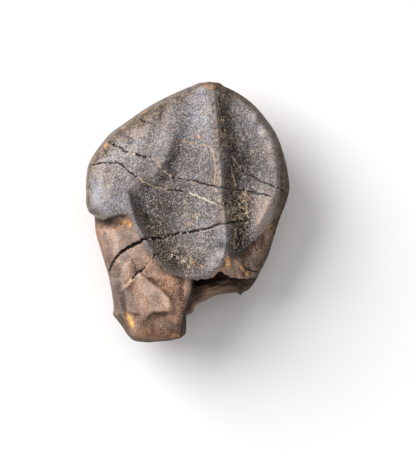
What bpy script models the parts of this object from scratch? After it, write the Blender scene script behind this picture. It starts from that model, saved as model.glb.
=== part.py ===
"""A rooted tooth of a horned dinosaur, fossilised, lying on its worn back with the enamel face up.

The tooth is one grown piece, so it is one solid. Its cross-sections are carried along the long axis:
each section is a closed loop in the XZ plane that runs over the front face from the left rim to the
right rim and back under the tooth. Lengths are in millimetres, +Y points to the crown's tip, +Z up
out of the enamel face, and the origin is under the middle of the tooth, on the surface it rests on.
"""

import bmesh
import bpy
import numpy as np

MM = 0.001
LENGTH = 36.0  # from the crown's tip to the broken end of the root
WIDTH = 28.0  # across the crown
TOP = LENGTH / 2
HALF_WIDTH = WIDTH / 2

SECTIONS = 300  # cross-sections along the tooth
AROUND = 280  # points round each section
END_GAP = 0.1  # the first and last sections are this far from the ends
SOLID_TRIANGLES = 9600  # what is left of them once flat stretches are thinned out
NEAR_LEVEL = 0.04  # points this close to the resting surface are put on it

FOSSIL_COLOUR = (0.085, 0.07, 0.062, 1.0)
FOSSIL_ROUGHNESS = 0.5

# The outline seen from above, as (y, x) from the tip down each side.
LEFT_EDGE = (
    (TOP, 3.1), (17.95, 2.2), (17.4, 0.5), (16.6, -1.4), (15.7, -3.3), (14.1, -6.1), (12.4, -8.5),
    (10.8, -10.7), (9.1, -12.1), (7.5, -13.2), (5.8, -13.85), (3.5, -HALF_WIDTH), (1.5, -HALF_WIDTH),
    (0.0, -13.6), (-0.6, -12.85), (-2.4, -12.75), (-4.9, -12.1), (-8.2, -11.15), (-11.5, -10.45),
    (-14.2, -10.25), (-15.7, -9.2), (-17.2, -8.1), (-17.85, -7.1), (-TOP, -5.6),
)  # fmt: skip
RIGHT_EDGE = (
    (TOP, 3.1), (17.95, 4.0), (17.4, 5.0), (16.5, 6.8), (14.9, 9.0), (13.2, 10.5), (10.8, 12.15),
    (8.3, 13.1), (5.8, 13.7), (3.4, HALF_WIDTH), (1.7, 13.65), (-0.8, 12.7), (-3.3, 11.9),
    (-5.8, 11.15), (-8.2, 10.0), (-9.9, 9.0), (-10.9, 8.0), (-11.15, 6.0), (-11.5, 3.9), (-12.1, 2.6),
    (-12.9, 1.1), (-13.9, 0.6), (-14.3, -0.2), (-16.6, -0.25), (-17.3, -0.9), (-17.75, -2.6),
    (-TOP, -5.6),
)  # fmt: skip

# Heights above the resting surface, along y: the rim where each side is widest, and the front face.
LEFT_RIM = (
    (TOP, 7.6), (14.0, 8.6), (8.0, 9.6), (3.0, 9.6), (-1.0, 8.6), (-5.0, 7.4), (-12.0, 6.6), (-TOP, 6.2),
)  # fmt: skip
RIGHT_RIM = (
    (TOP, 7.6), (14.0, 8.6), (8.0, 9.6), (3.0, 9.9), (-2.0, 9.4), (-6.0, 8.3), (-9.5, 7.0), (-12.5, 6.0),
    (-14.2, 5.9), (-TOP, 6.2),
)  # fmt: skip
CROWN_SPINE = ((TOP, 9.4), (16.0, 11.0), (12.0, 12.9), (7.0, 14.2), (2.0, 14.8), (-3.0, 15.25), (-9.5, 15.5))
CROWN_SAG = 1.7  # how far the crown's face drops from its middle to its sides
CROWN_SAG_POWER = 2.2
CROWN_LEAST_HALF = 3.0  # near the tip the sag goes by this half width, as the outline closes there
ROOT_SPINE = ((0.0, 14.7), (-5.0, 14.7), (-10.0, 14.3), (-13.5, 14.0), (-16.0, 13.4), (-TOP, 12.2))
ROOT_SHOULDER = ((0.0, -9.8), (-6.0, -9.2), (-11.0, -8.4), (-15.0, -7.2), (-TOP, -5.7))
SHOULDER_SLOPE = 0.55  # left of the shoulder the root's face slants down
SHOULDER_POWER = 1.15
ROOT_RIGHT_DROP = 1.0  # the root's face drops by this between two x, and slopes on from there
ROOT_RIGHT_DROP_FROM, ROOT_RIGHT_DROP_TO = 4.5, 7.0
ROOT_RIGHT_SLOPE_FROM = 5.5
ROOT_RIGHT_SLOPE = 0.3

# How far in from each edge the face is rounded down to the rim. The bevel is the share of the right
# side's rounding that slants like a chamfer instead of curving like a quarter circle.
LEFT_ROUNDING = ((TOP, 1.0), (12.0, 1.5), (6.0, 2.3), (-6.0, 2.4), (-TOP, 1.8))
RIGHT_ROUNDING = ((TOP, 0.8), (10.0, 1.1), (6.0, 1.5), (4.0, 1.8), (0.0, 2.3), (-5.0, 3.8), (-TOP, 3.8))
RIGHT_BEVEL = ((TOP, 0.2), (9.0, 0.5), (6.0, 1.0), (-1.0, 1.0), (-4.0, 0.5), (-TOP, 0.0))
BEVEL_POWER = 1.5
PRONG_ROUNDING = 0.7
PRONG_ROUNDING_FROM, PRONG_ROUNDING_TO = 1.0, 2.5  # how far past the prong's side its rounding gives way
PRONG_CORNER = 0.4  # how far the prong's broken corner is worn down
ROOT_END_ROUNDING = 1.6
ROOT_END = 0.45  # the share of the root's thickness that its broken end still has
BACK_ROUNDING = ((TOP, 7.0), (0.0, 9.0), (-8.0, 7.0), (-TOP, 4.5))

# The base of the enamel as (x, y): a lip at the left, a long tongue in the middle, a slant at the right.
ENAMEL_BASE = (
    (-14.2, -0.1), (-13.0, -0.5), (-11.6, -0.85), (-10.0, -0.7), (-8.4, -0.5), (-7.7, -0.8), (-6.9, -2.2),
    (-6.0, -3.6), (-5.0, -5.2), (-4.0, -6.7), (-3.0, -8.0), (-2.0, -8.7), (-0.5, -9.0), (2.4, -8.9),
    (3.6, -8.2), (4.8, -7.1), (5.6, -6.1), (6.8, -5.5), (8.4, -4.4), (10.2, -2.9), (11.8, -1.1), (14.2, 1.2),
)  # fmt: skip
ENAMEL_STEP = 0.17  # the enamel's edge steps down to the dentine over twice this width

# The central basin lies between a steep left wall and the main ridge. Each line is (y, x).
BASIN_WALL = (
    (17.0, -0.7), (14.0, -1.2), (11.0, -1.7), (8.5, -2.5), (6.5, -3.4), (5.5, -4.1), (4.8, -5.1), (4.0, -6.5),
    (3.2, -8.0), (2.2, -8.1), (1.0, -7.8), (-0.6, -7.3), (-2.2, -6.7), (-3.8, -5.9), (-5.4, -4.9),
    (-7.0, -3.8), (-8.2, -2.8), (-9.2, -1.4),
)  # fmt: skip
BASIN_DEPTH = (
    (17.0, 0.25), (13.0, 0.55), (10.0, 0.85), (8.0, 1.3), (4.0, 1.6), (0.0, 2.15), (-3.0, 2.25), (-6.0, 1.9),
    (-9.0, 1.2),
)  # fmt: skip
BASIN_WALL_WIDTH = (
    (17.0, 1.6), (12.0, 1.7), (10.0, 1.5), (6.8, 1.6), (5.4, 2.8), (4.0, 4.2), (3.2, 3.4), (2.4, 2.3),
    (1.4, 1.8), (0.0, 1.9), (-2.0, 2.7), (-5.0, 2.6), (-9.0, 2.0),
)  # fmt: skip
BASIN_WALL_TOP = -0.2  # the wall starts this share of its width outside the line
BASIN_FOOT = 3.2  # past the wall, the floor still sinks for this many wall widths
BASIN_WALL_SHARE = 0.6  # the share of the depth that the wall takes, the foot takes the rest
BASIN_FLOOR = ((17.0, 1.0), (9.0, 0.85), (3.0, 0.6), (-9.0, 0.55))  # 1 slants evenly, less is flatter
MAIN_RIDGE = (
    (17.6, 3.3), (15.2, 3.7), (12.7, 4.05), (10.9, 4.2), (7.8, 4.35), (5.4, 4.6), (3.6, 4.6), (1.5, 4.75),
    (0.0, 4.95), (-2.0, 5.25), (-4.0, 5.2), (-6.0, 4.8), (-8.0, 4.4),
)  # fmt: skip
RIDGE_DROP = (
    (17.8, 0.7), (15.0, 1.7), (11.0, 2.2), (6.0, 2.1), (2.0, 1.8), (-3.0, 1.8), (-5.5, 1.5), (-7.5, 0.5),
)  # fmt: skip
RIDGE_FLANK = ((17.0, 1.3), (15.0, 1.7), (12.0, 2.1), (8.0, 2.7), (4.0, 2.8), (-2.0, 2.3), (-8.0, 2.1))
RIGHT_LIP = 1.2  # from the trough the face climbs again to this far inside the right edge
RIGHT_LIP_LEAST = 1.0
RIGHT_CLIMB = 0.7  # and wins back this share of the drop
TROUGH_LINE = ((17.0, 5.8), (12.0, 7.2), (8.0, 8.3), (2.0, 8.2), (-4.0, 7.8), (-8.0, 7.6))

# Low ribs that run in from the margin: (top x, top y, foot x, foot y, width, height).
RIBS = (
    (-2.6, 15.9, -4.0, 5.6, 1.0, 0.45),
    (-5.4, 14.2, -7.4, 7.4, 1.1, 0.3),
    (-8.6, 12.0, -9.8, 6.4, 1.0, 0.22),
    (7.6, 15.8, 6.9, 12.4, 0.6, 0.2),
    (9.7, 14.0, 8.4, 11.0, 0.7, 0.3),
    (11.3, 12.0, 9.6, 9.6, 0.7, 0.32),
    (12.6, 9.8, 10.6, 8.0, 0.7, 0.28),
    (13.3, 7.2, 10.9, 6.2, 0.7, 0.2),
)
RIB_RISE = (-0.25, 0.15)  # shares of a rib's length over which it rises, and over which it fades
RIB_FADE = (0.3, 1.15)

# The broken lower edge: the crown's base at the right, and the right side of the long root prong.
BASE_BREAK_Y = -8.95
BASE_BREAK = (
    (0.2, 0.2), (1.3, -0.3), (2.6, -0.15), (3.3, 0.0), (4.0, 0.6), (4.5, 0.85), (5.2, 0.35), (6.2, -0.1),
    (8.0, -0.2), (9.6, 0.0),
)  # fmt: skip  # (x, rise)
PRONG_SIDE = ((-8.0, 0.5), (-9.5, 0.35), (-12.0, -0.15), (-14.5, -0.95), (-TOP, -1.6))
BREAK_BEND = 1.2  # how far from the edge the sections still bend along it
BASE_WALL = 0.35  # how wide the broken wall under the crown looks from above
PRONG_WALL = 0.75  # and the prong's side
UNDERCUT = 1.1  # how far the hollow reaches in under the crown
UNDERCUT_LENGTH = 1.2
UNDERCUT_SIDES = 1.5  # and how far from either side it reaches that depth
STUB_HEIGHT = (
    (-8.0, 9.4), (-9.6, 9.6), (-10.6, 10.6), (-11.6, 10.7), (-13.0, 9.6), (-16.0, 8.6), (-TOP, 8.0),
)  # fmt: skip
STUB_ROUNDING = 2.4
STUB_LEDGE = (8.3, -9.6, 3.4, 1.6, 0.0, 1.5)  # at the right the stub rises to the crown's base

# Soft swellings and hollows of the front: (x, y, radius across, radius along, turn in degrees, height).
CROWN_SWELLS = (
    (-11.6, 1.6, 1.9, 2.4, -8.0, 0.85),
    (-10.9, 4.6, 0.45, 1.9, -10.0, -0.14),
    (11.4, 0.6, 1.8, 3.4, 14.0, 0.4),
    (3.0, 14.5, 1.2, 3.4, -4.0, 0.35),
    (-3.5, 13.7, 0.55, 1.7, -10.0, -0.35),
    (3.9, -6.7, 1.1, 1.7, -42.0, 0.4),
    (7.9, 7.6, 0.9, 1.8, 0.0, -0.25),
)
ROOT_SWELLS = (
    (-10.9, -1.6, 2.2, 0.75, -4.0, -1.3),
    (-8.8, -12.4, 0.5, 1.9, 8.0, -1.1),
    (-7.4, -7.6, 0.35, 0.9, 20.0, -0.2),
    (-9.0, -15.4, 0.6, 1.3, 24.0, -0.3),
    (-7.9, -14.9, 0.35, 1.1, 20.0, -0.5),
    (-8.2, -8.3, 0.8, 1.2, -12.0, 0.35),
    (-7.0, -6.2, 2.2, 1.6, 0.0, -0.15),
    (-4.2, -15.8, 2.4, 1.5, 0.0, -0.75),
    (-3.4, -9.6, 0.8, 2.2, 40.0, -0.15),
    (-2.7, -12.7, 0.55, 0.8, 20.0, 0.3),
    (-4.6, -14.5, 1.2, 0.4, 0.0, -0.2),
    (-6.0, -14.3, 0.5, 0.5, 0.0, 0.3),
    (-6.4, -9.3, 1.4, 0.6, -38.0, 0.2),
    (-5.4, -12.0, 2.0, 1.6, 0.0, 0.3),
)
# A flake of the root's outer layer still in place, as its outline (x, y) and how far it stands up.
FLAKE = (
    (-6.6, -8.3), (-5.6, -9.0), (-4.4, -10.0), (-3.3, -10.8), (-2.4, -11.9), (-2.1, -12.8), (-2.5, -13.6),
    (-4.6, -13.7), (-5.6, -14.4), (-6.6, -14.0), (-8.2, -13.6), (-8.9, -11.8), (-9.2, -10.8), (-7.9, -9.5),
)  # fmt: skip
FLAKE_HEIGHT = 0.6
FLAKE_EDGE = 0.24

# Open cracks: half width at the start and at the end, depth, and the path (x, y) between them by hand.
CRACKS = (
    ((0.28, 0.14), 0.8, (
        (-10.9, -8.2), (-10.6, -7.6), (-10.2, -6.9), (-9.2, -5.6), (-8.3, -5.0), (-7.5, -4.5), (-6.2, -3.8),
        (-5.4, -3.5), (-3.9, -3.55), (-2.0, -3.1), (0.0, -2.8), (1.7, -2.4), (3.4, -2.0), (4.1, -1.65),
        (5.7, -1.4), (7.2, -1.2), (8.9, -0.95),
    )),
    ((0.2, 0.16), 0.35, (
        (-11.1, 9.7), (-9.8, 9.1), (-8.4, 8.25), (-7.8, 7.95), (-7.0, 7.85), (-5.6, 7.55), (-5.0, 7.5),
        (-4.4, 7.1), (-4.0, 6.5), (-3.0, 5.3), (-1.7, 4.8), (0.0, 4.4), (1.1, 4.25), (3.0, 3.65), (5.2, 3.3),
        (7.6, 2.95), (9.0, 2.7), (11.5, 2.2), (12.2, 2.1),
    )),
    ((0.18, 0.18), 0.3, (
        (-13.4, 6.35), (-12.3, 6.65), (-10.7, 6.7), (-9.8, 6.8), (-9.2, 6.6), (-8.0, 5.6), (-6.6, 4.6),
        (-5.0, 3.7), (-3.5, 3.15), (-1.8, 2.95), (-0.8, 2.9), (1.0, 2.3), (2.9, 1.5), (3.8, 1.15),
        (5.1, 1.15), (6.6, 1.4),
    )),
    ((0.16, 0.2), 0.35, (
        (6.0, 7.8), (6.8, 6.6), (7.2, 6.0), (8.1, 5.2), (9.4, 4.6), (11.0, 3.8), (12.6, 3.2), (13.5, 2.6),
    )),
    ((0.2, 0.16), 0.35, (
        (-3.6, -5.6), (-4.9, -5.9), (-4.9, -6.6), (-5.4, -7.3), (-6.3, -8.0), (-7.3, -8.9), (-8.8, -10.2),
        (-9.2, -10.6),
    )),
)  # fmt: skip
CRACK_END = 0.06  # the share of its length over which each end of a crack closes
CRACK_FLARE = 0.7  # below 1 the groove's walls are steep at the top

# The back: it bulges to the flat worn patch that the tooth lies on, and a second worn plane rises to the tip.
BACK_BULGE = 0.8  # how far the bulge would reach below the resting surface if it were not worn flat
BACK_MIDDLE = (-0.4, -2.4)
BACK_RISE = ((9.0, 2.1), (12.0, 2.4))  # (distance, rise there) across and along
TIP_FACET_START = 5.6
TIP_FACET_SLOPE = 0.5
ROOT_GROOVE = (-5.0, -17.0, 1.7, 5.0, 0.0, 1.5)
FACET_BLEND = 4.0  # the two meet in a curve that gets tighter as this grows
LEAST_BACK = 0.6  # the back stays at least this far below the rim

EDGE_SPLITS = 4  # each span of an edge is measured as this many straight runs
ALONG_SAMPLES, AROUND_SAMPLES = 400, 500  # the trial grid by which the sections are spaced
SPACING_ROUNDS = 6  # how often the spacing is evened out between neighbouring sections
SHARP_ANGLE = 50.0


def smooth(knots, at):
    """A curve through (place, value) knots that never overshoots them: cubic spans with limited slopes."""
    place, value = np.array(sorted(knots), float).T
    gap = np.diff(place)
    rise = np.diff(value) / gap
    slope = np.concatenate([rise[:1], np.zeros(len(gap) - 1), rise[-1:]])
    same_way = rise[:-1] * rise[1:] > 0
    before, after = 2 * gap[1:] + gap[:-1], gap[1:] + 2 * gap[:-1]
    with np.errstate(divide="ignore", invalid="ignore"):
        mean = (before + after) / (before / rise[:-1] + after / rise[1:])
    slope[1:-1] = np.where(same_way, mean, 0.0)
    at = np.clip(at, place[0], place[-1])
    k = np.clip(np.searchsorted(place, at, side="right") - 1, 0, len(gap) - 1)
    t = (at - place[k]) / gap[k]
    return (
        value[k] * (1 + 2 * t) * (1 - t) ** 2
        + value[k + 1] * t**2 * (3 - 2 * t)
        + gap[k] * (slope[k] * t * (1 - t) ** 2 - slope[k + 1] * t**2 * (1 - t))
    )


def step(low, high, at):
    """0 below low, 1 above high, and a smooth S between them."""
    t = np.clip((at - low) / (high - low), 0.0, 1.0)
    return t * t * (3 - 2 * t)


def swell(x, y, cx, cy, across, along, turn, height):
    """A bell-shaped swelling, or a hollow if its height is negative."""
    c, s = np.cos(np.radians(turn)), np.sin(np.radians(turn))
    u = ((x - cx) * c + (y - cy) * s) / across
    v = ((y - cy) * c - (x - cx) * s) / along
    return height * np.exp(-(u * u + v * v))


def rib(x, y, top_x, top_y, foot_x, foot_y, width, height):
    """A low rib from the margin inwards, highest near its top and fading out at its foot."""
    dx, dy = foot_x - top_x, foot_y - top_y
    length = np.hypot(dx, dy)
    along = ((x - top_x) * dx + (y - top_y) * dy) / length**2
    aside = ((x - top_x) * dy - (y - top_y) * dx) / length
    body = step(*RIB_RISE, along) * (1 - step(*RIB_FADE, along))
    return height * body * np.exp(-((aside / width) ** 2))


def path_distance(x, y, path):
    """The distance to an open path of straight runs, and how far along it the nearest point is, 0 to 1."""
    corners = np.array(path, float)
    runs = np.diff(corners, axis=0)
    lengths = np.hypot(*runs.T)
    done = np.concatenate([[0.0], np.cumsum(lengths)]) / lengths.sum()
    nearest = np.full(np.shape(x), np.inf)
    place = np.zeros(np.shape(x))
    for (ax, ay), (rx, ry), length, start, end in zip(corners, runs, lengths, done, done[1:]):
        t = np.clip(((x - ax) * rx + (y - ay) * ry) / length**2, 0, 1)
        d = np.hypot(x - ax - t * rx, y - ay - t * ry)
        closer = d < nearest
        nearest = np.where(closer, d, nearest)
        place = np.where(closer, start + t * (end - start), place)
    return nearest, place


def inside(x, y, outline):
    """True where a point lies inside a closed outline, by counting the edges to its right."""
    odd = np.zeros(np.shape(x), bool)
    for (ax, ay), (bx, by) in zip(outline, outline[1:] + outline[:1]):
        spans = (ay > y) != (by > y)
        crossing = ax + (y - ay) * (bx - ax) / (by - ay) if by != ay else ax
        odd ^= spans & (x < crossing)
    return odd


def edge_distance(x, y, edge, way):
    """How far in from one side's edge a point is: measured square to the edge, and 0 on the edge itself."""
    stations = np.array(sorted(knot[0] for knot in edge))
    last = len(stations) - 1
    between = np.interp(np.linspace(0, last, last * EDGE_SPLITS + 1), np.arange(last + 1), stations)
    reach = smooth(edge, between)

    def inward(px, py):
        distance, _ = path_distance(px, py, list(zip(reach, between)))
        return distance * np.sign(way * (px - np.interp(py, between, reach)))

    on_edge = y[:, :1]
    return np.maximum(inward(x, y) - inward(smooth(edge, on_edge), on_edge), 0)


def rounded(distance, radius):
    """0 on an edge, rising along a quarter circle to 1 at the radius."""
    return np.sqrt(1 - (1 - np.clip(distance / radius, 0, 1)) ** 2)


def bevelled(distance, radius):
    """0 on an edge and 1 at the radius, by a curve that leaves a slanting side face."""
    return 1 - (1 - np.clip(distance / radius, 0, 1)) ** BEVEL_POWER


def enamel_distance(x, y):
    """The distance from the enamel's base line, positive on the enamel's side of it."""
    distance, _ = path_distance(x, y, ENAMEL_BASE)
    across, along = np.array(ENAMEL_BASE).T
    return distance * np.sign(y - np.interp(x, across, along))


def crown_height(x, y):
    """The enamel face: a domed plate with a basin, a main ridge with a steep right side, and ribs."""
    left, right = smooth(LEFT_EDGE, y), smooth(RIGHT_EDGE, y)
    half = np.maximum((right - left) / 2, CROWN_LEAST_HALF)
    z = smooth(CROWN_SPINE, y) - CROWN_SAG * (np.abs(x - (left + right) / 2) / half) ** CROWN_SAG_POWER
    wall, ridge = smooth(BASIN_WALL, y), smooth(MAIN_RIDGE, y)
    across = np.clip((x - wall) / (ridge - wall), 0, 1)
    past_wall = (x - wall) / smooth(BASIN_WALL_WIDTH, y)
    scoop = BASIN_WALL_SHARE * step(BASIN_WALL_TOP, 1.0, past_wall)
    scoop = scoop + (1 - BASIN_WALL_SHARE) * bevelled(past_wall, BASIN_FOOT)
    z = z - smooth(BASIN_DEPTH, y) * scoop * (1 - across) ** smooth(BASIN_FLOOR, y)
    trough = smooth(TROUGH_LINE, y)
    climb = step(0.0, 1.0, (x - trough) / np.maximum(right - RIGHT_LIP - trough, RIGHT_LIP_LEAST))
    z = z - smooth(RIDGE_DROP, y) * bevelled(x - ridge, smooth(RIDGE_FLANK, y)) * (1 - RIGHT_CLIMB * climb)
    for values in RIBS:
        z = z + rib(x, y, *values)
    for values in CROWN_SWELLS:
        z = z + swell(x, y, *values)
    return z


def root_height(x, y):
    """The root's face: a rounded block with a slanting left side, hollows, and one raised flake."""
    left = np.maximum(smooth(ROOT_SHOULDER, y) - x, 0)
    right = np.maximum(x - ROOT_RIGHT_SLOPE_FROM, 0)
    z = smooth(ROOT_SPINE, y) - SHOULDER_SLOPE * left**SHOULDER_POWER - ROOT_RIGHT_SLOPE * right
    z = z - ROOT_RIGHT_DROP * step(ROOT_RIGHT_DROP_FROM, ROOT_RIGHT_DROP_TO, x)
    for values in ROOT_SWELLS:
        z = z + swell(x, y, *values)
    rim, _ = path_distance(x, y, FLAKE + FLAKE[:1])
    rim = np.where(inside(x, y, FLAKE), rim, -rim)
    return z + FLAKE_HEIGHT * step(-FLAKE_EDGE, FLAKE_EDGE, rim)


def crack_depth(x, y):
    """How deep the open cracks cut into the front face."""
    depth = 0 * x
    for (first, last), deepest, path in CRACKS:
        away, along = path_distance(x, y, path)
        open_part = step(0.0, CRACK_END, along) * (1 - step(1 - CRACK_END, 1.0, along))
        groove = np.clip(1 - away / (first + (last - first) * along), 0, 1)
        depth = np.maximum(depth, deepest * open_part * groove**CRACK_FLARE)
    return depth


def bend(x, y):
    """Moves the sections near the crown's broken base so that they run along the broken edge."""
    near = np.exp(-(((y - BASE_BREAK_Y) / BREAK_BEND) ** 2))
    return y + smooth(BASE_BREAK, x) * near


def surface(y, s):
    """Points of the tooth's surface, for a station y along it and a place s round it.

    s runs from 0 at the left rim over the front to 1 at the right rim, and under the back to 2.
    """
    left, right = smooth(LEFT_EDGE, y), smooth(RIGHT_EDGE, y)
    x = (left + right) / 2 - (right - left) / 2 * np.cos(np.pi * s)
    share = (1 - np.cos(np.pi * s)) / 2
    rim = smooth(LEFT_RIM, y) * (1 - share) + smooth(RIGHT_RIM, y) * share
    from_left = edge_distance(x, y, LEFT_EDGE, 1)
    from_right = edge_distance(x, y, RIGHT_EDGE, -1)
    front = s <= 1

    # The front face above the rim, and the broken stub of the back root beside the long prong.
    bent = bend(x, y)
    past_side = x - smooth(PRONG_SIDE, y)
    past_base = BASE_BREAK_Y - y
    broken = np.minimum(past_side / PRONG_WALL, past_base / BASE_WALL)
    enamel = step(-ENAMEL_STEP, ENAMEL_STEP, enamel_distance(x, bent))
    face = root_height(x, bent) * (1 - enamel) + crown_height(x, bent) * enamel - crack_depth(x, bent)
    end = ROOT_END + (1 - ROOT_END) * rounded(y + TOP, ROOT_END_ROUNDING)
    beside_stub = y < BASE_BREAK_Y
    on_prong = np.where(beside_stub, 1 - step(PRONG_ROUNDING_FROM, PRONG_ROUNDING_TO, past_side), 0.0)
    radius = smooth(RIGHT_ROUNDING, y) + (PRONG_ROUNDING - smooth(RIGHT_ROUNDING, y)) * on_prong
    bevel = smooth(RIGHT_BEVEL, y)
    right_edge = rounded(from_right, radius) * (1 - bevel) + bevelled(from_right, radius) * bevel
    whole = rim + (face - rim) * rounded(from_left, smooth(LEFT_ROUNDING, y)) * right_edge * end
    corner = np.where(beside_stub, np.maximum(-past_side, 0), PRONG_ROUNDING)
    whole = whole - PRONG_CORNER * (1 - rounded(corner, PRONG_ROUNDING))
    stub = smooth(STUB_HEIGHT, y) + swell(x, y, *STUB_LEDGE)
    stub = rim + (stub - rim) * rounded(from_right, STUB_ROUNDING) * end
    standing = 1 - step(0.0, 1.0, broken)
    height = stub + (whole - stub) * standing

    # The back below the rim.
    (across, rise_across), (along, rise_along) = BACK_RISE
    under = (
        -BACK_BULGE
        + rise_across * ((x - BACK_MIDDLE[0]) / across) ** 2
        + rise_along * ((y - BACK_MIDDLE[1]) / along) ** 2
        + swell(x, y, *ROOT_GROOVE)
    )
    facet = TIP_FACET_SLOPE * (y - TIP_FACET_START)
    under = np.minimum(np.logaddexp(FACET_BLEND * under, FACET_BLEND * facet) / FACET_BLEND, rim - LEAST_BACK)
    inwards = rounded(np.minimum(from_left, from_right), smooth(BACK_ROUNDING, y))
    back = rim + (under - rim) * inwards * end

    z = np.where(front, height, back)
    sides = step(0.0, UNDERCUT_SIDES, past_side) * step(0.0, UNDERCUT_SIDES, from_right)
    under_crown = np.where(front, (1 - standing) * sides, 0.0)
    inward = UNDERCUT * under_crown * np.exp(-np.maximum(past_base, 0) / UNDERCUT_LENGTH)
    return np.stack([x, bent + inward, z], axis=-1)


def even_grid(rings, around):
    """Stations and places that space the sections, and the points of each, evenly over the surface."""
    y = np.linspace(END_GAP - TOP, TOP - END_GAP, ALONG_SAMPLES)[:, None]
    s = np.linspace(0, 2, AROUND_SAMPLES)[None, :]
    points = surface(y + 0 * s, s + 0 * y)
    along = np.linalg.norm(np.diff(points, axis=0), axis=2)
    strides = np.concatenate([[0], np.cumsum((along**2).mean(axis=1) ** 0.5)])
    stations = np.interp(np.linspace(0, strides[-1], rings), strides, y[:, 0])
    points = surface(stations[:, None] + 0 * s, s + 0 * stations[:, None])
    steps = np.linalg.norm(np.diff(points, axis=1), axis=2)
    steps = steps / steps.sum(axis=1, keepdims=True)
    for _ in range(SPACING_ROUNDS):
        padded = np.pad(steps, ((1, 1), (0, 0)), mode="edge")
        steps = (padded[:-2] + 2 * steps + padded[2:]) / 4
    reach = np.concatenate([np.zeros((rings, 1)), np.cumsum(steps, axis=1)], axis=1)
    shares = np.linspace(0, 1, around, endpoint=False)
    places = np.array([np.interp(shares, row / row[-1], s[0]) for row in reach])
    return stations[:, None] + 0 * places, places


def tooth_mesh():
    """The lofted tooth as a mesh, with each section a ring of points and both ends closed in a fan."""
    rings = surface(*even_grid(SECTIONS, AROUND))
    points = rings.reshape(-1, 3)
    ends = np.stack([rings[0].mean(axis=0), rings[-1].mean(axis=0)])
    ends[:, 1] = -TOP, TOP
    ring, place = np.meshgrid(np.arange(SECTIONS - 1), np.arange(AROUND), indexing="ij")
    here, beside = ring * AROUND + place, ring * AROUND + (place + 1) % AROUND
    quads = np.stack([here, here + AROUND, beside + AROUND, beside], axis=-1).reshape(-1, 4)
    first, last = len(points), len(points) + 1
    around = np.arange(AROUND)
    after = (around + 1) % AROUND
    final_ring = (SECTIONS - 1) * AROUND
    low_fan = [(first, int(a), int(b)) for a, b in zip(around, after)]
    high_fan = [(last, final_ring + int(b), final_ring + int(a)) for a, b in zip(around, after)]
    mesh = bpy.data.meshes.new("dense tooth")
    mesh.from_pydata((np.concatenate([points, ends]) * MM).tolist(), [], quads.tolist() + low_fan + high_fan)
    return mesh


def thin_out(mesh):
    """The same surface with fewer triangles: many where it bends and few where it is nearly flat."""
    dense = bpy.data.objects.new("dense tooth", mesh)
    bpy.context.scene.collection.objects.link(dense)
    collapse = dense.modifiers.new("collapse", "DECIMATE")
    collapse.ratio = SOLID_TRIANGLES / (2 * SECTIONS * AROUND)
    seen = dense.evaluated_get(bpy.context.evaluated_depsgraph_get())
    thinned = bpy.data.meshes.new_from_object(seen)
    bpy.data.objects.remove(dense)
    return thinned


def wear_flat(mesh):
    """Cuts the bulging back off level, which leaves the flat worn patch that the tooth lies on."""
    bm = bmesh.new()
    bm.from_mesh(mesh)
    for vert in bm.verts:
        if abs(vert.co.z) < NEAR_LEVEL * MM:
            vert.co.z = 0.0
    everything = bm.verts[:] + bm.edges[:] + bm.faces[:]
    level = {"plane_co": (0, 0, 0), "plane_no": (0, 0, -1), "dist": 0.01 * NEAR_LEVEL * MM}
    bmesh.ops.bisect_plane(bm, geom=everything, clear_outer=True, **level)
    bmesh.ops.holes_fill(bm, edges=[e for e in bm.edges if e.is_boundary])
    bmesh.ops.recalc_face_normals(bm, faces=bm.faces)
    bm.to_mesh(mesh)
    bm.free()


def fossil_material():
    """Dark, mineral-stained enamel and dentine."""
    material = bpy.data.materials.new("fossil")
    material.use_nodes = True
    shader = material.node_tree.nodes["Principled BSDF"]
    shader.inputs["Base Color"].default_value = FOSSIL_COLOUR
    shader.inputs["Roughness"].default_value = FOSSIL_ROUGHNESS
    shader.inputs["Metallic"].default_value = 0.0
    return material


def main():
    """Clears the scene and makes the tooth."""
    for obj in list(bpy.data.objects):
        bpy.data.objects.remove(obj)
    mesh = thin_out(tooth_mesh())
    mesh.name = "tooth"
    wear_flat(mesh)
    mesh.materials.append(fossil_material())
    tooth = bpy.data.objects.new("tooth", mesh)
    bpy.context.scene.collection.objects.link(tooth)
    mesh.shade_smooth()
    mesh.set_sharp_from_angle(angle=np.radians(SHARP_ANGLE))


if __name__ == "__main__":
    main()
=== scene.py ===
"""The looks of a fossilised tooth of a horned dinosaur, which lies on its worn back with the enamel face up.

The tooth is one closed surface of two parameters: a station along it, and a place round the
cross-section there. The heights of its two faces are sums and products of smooth profiles, and what
only colour shows is kept on the mesh as attributes that the finish reads. Lengths are in
millimetres until the mesh is made.
"""

import logging
from dataclasses import dataclass
from dataclasses import field
from enum import Enum

import bpy
import numpy as np
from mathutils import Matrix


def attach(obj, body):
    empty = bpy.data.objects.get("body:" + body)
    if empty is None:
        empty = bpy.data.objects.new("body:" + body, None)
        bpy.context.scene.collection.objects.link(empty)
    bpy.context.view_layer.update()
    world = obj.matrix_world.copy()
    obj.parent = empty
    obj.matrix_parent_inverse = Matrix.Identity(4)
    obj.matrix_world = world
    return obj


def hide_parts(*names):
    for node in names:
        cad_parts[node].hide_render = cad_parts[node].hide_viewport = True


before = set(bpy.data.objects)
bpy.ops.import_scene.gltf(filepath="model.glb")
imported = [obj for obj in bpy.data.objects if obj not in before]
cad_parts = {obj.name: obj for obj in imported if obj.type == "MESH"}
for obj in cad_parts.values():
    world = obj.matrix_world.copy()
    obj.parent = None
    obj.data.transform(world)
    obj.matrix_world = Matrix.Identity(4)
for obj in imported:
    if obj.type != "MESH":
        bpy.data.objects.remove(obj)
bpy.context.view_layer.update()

LOG = logging.getLogger("tooth")
MM = 0.001

Array = np.ndarray
Knots = tuple[tuple[float, float], ...]
Path = tuple[tuple[float, float], ...]


# ---------------------------------------------------------------------------------- curves and noise


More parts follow.
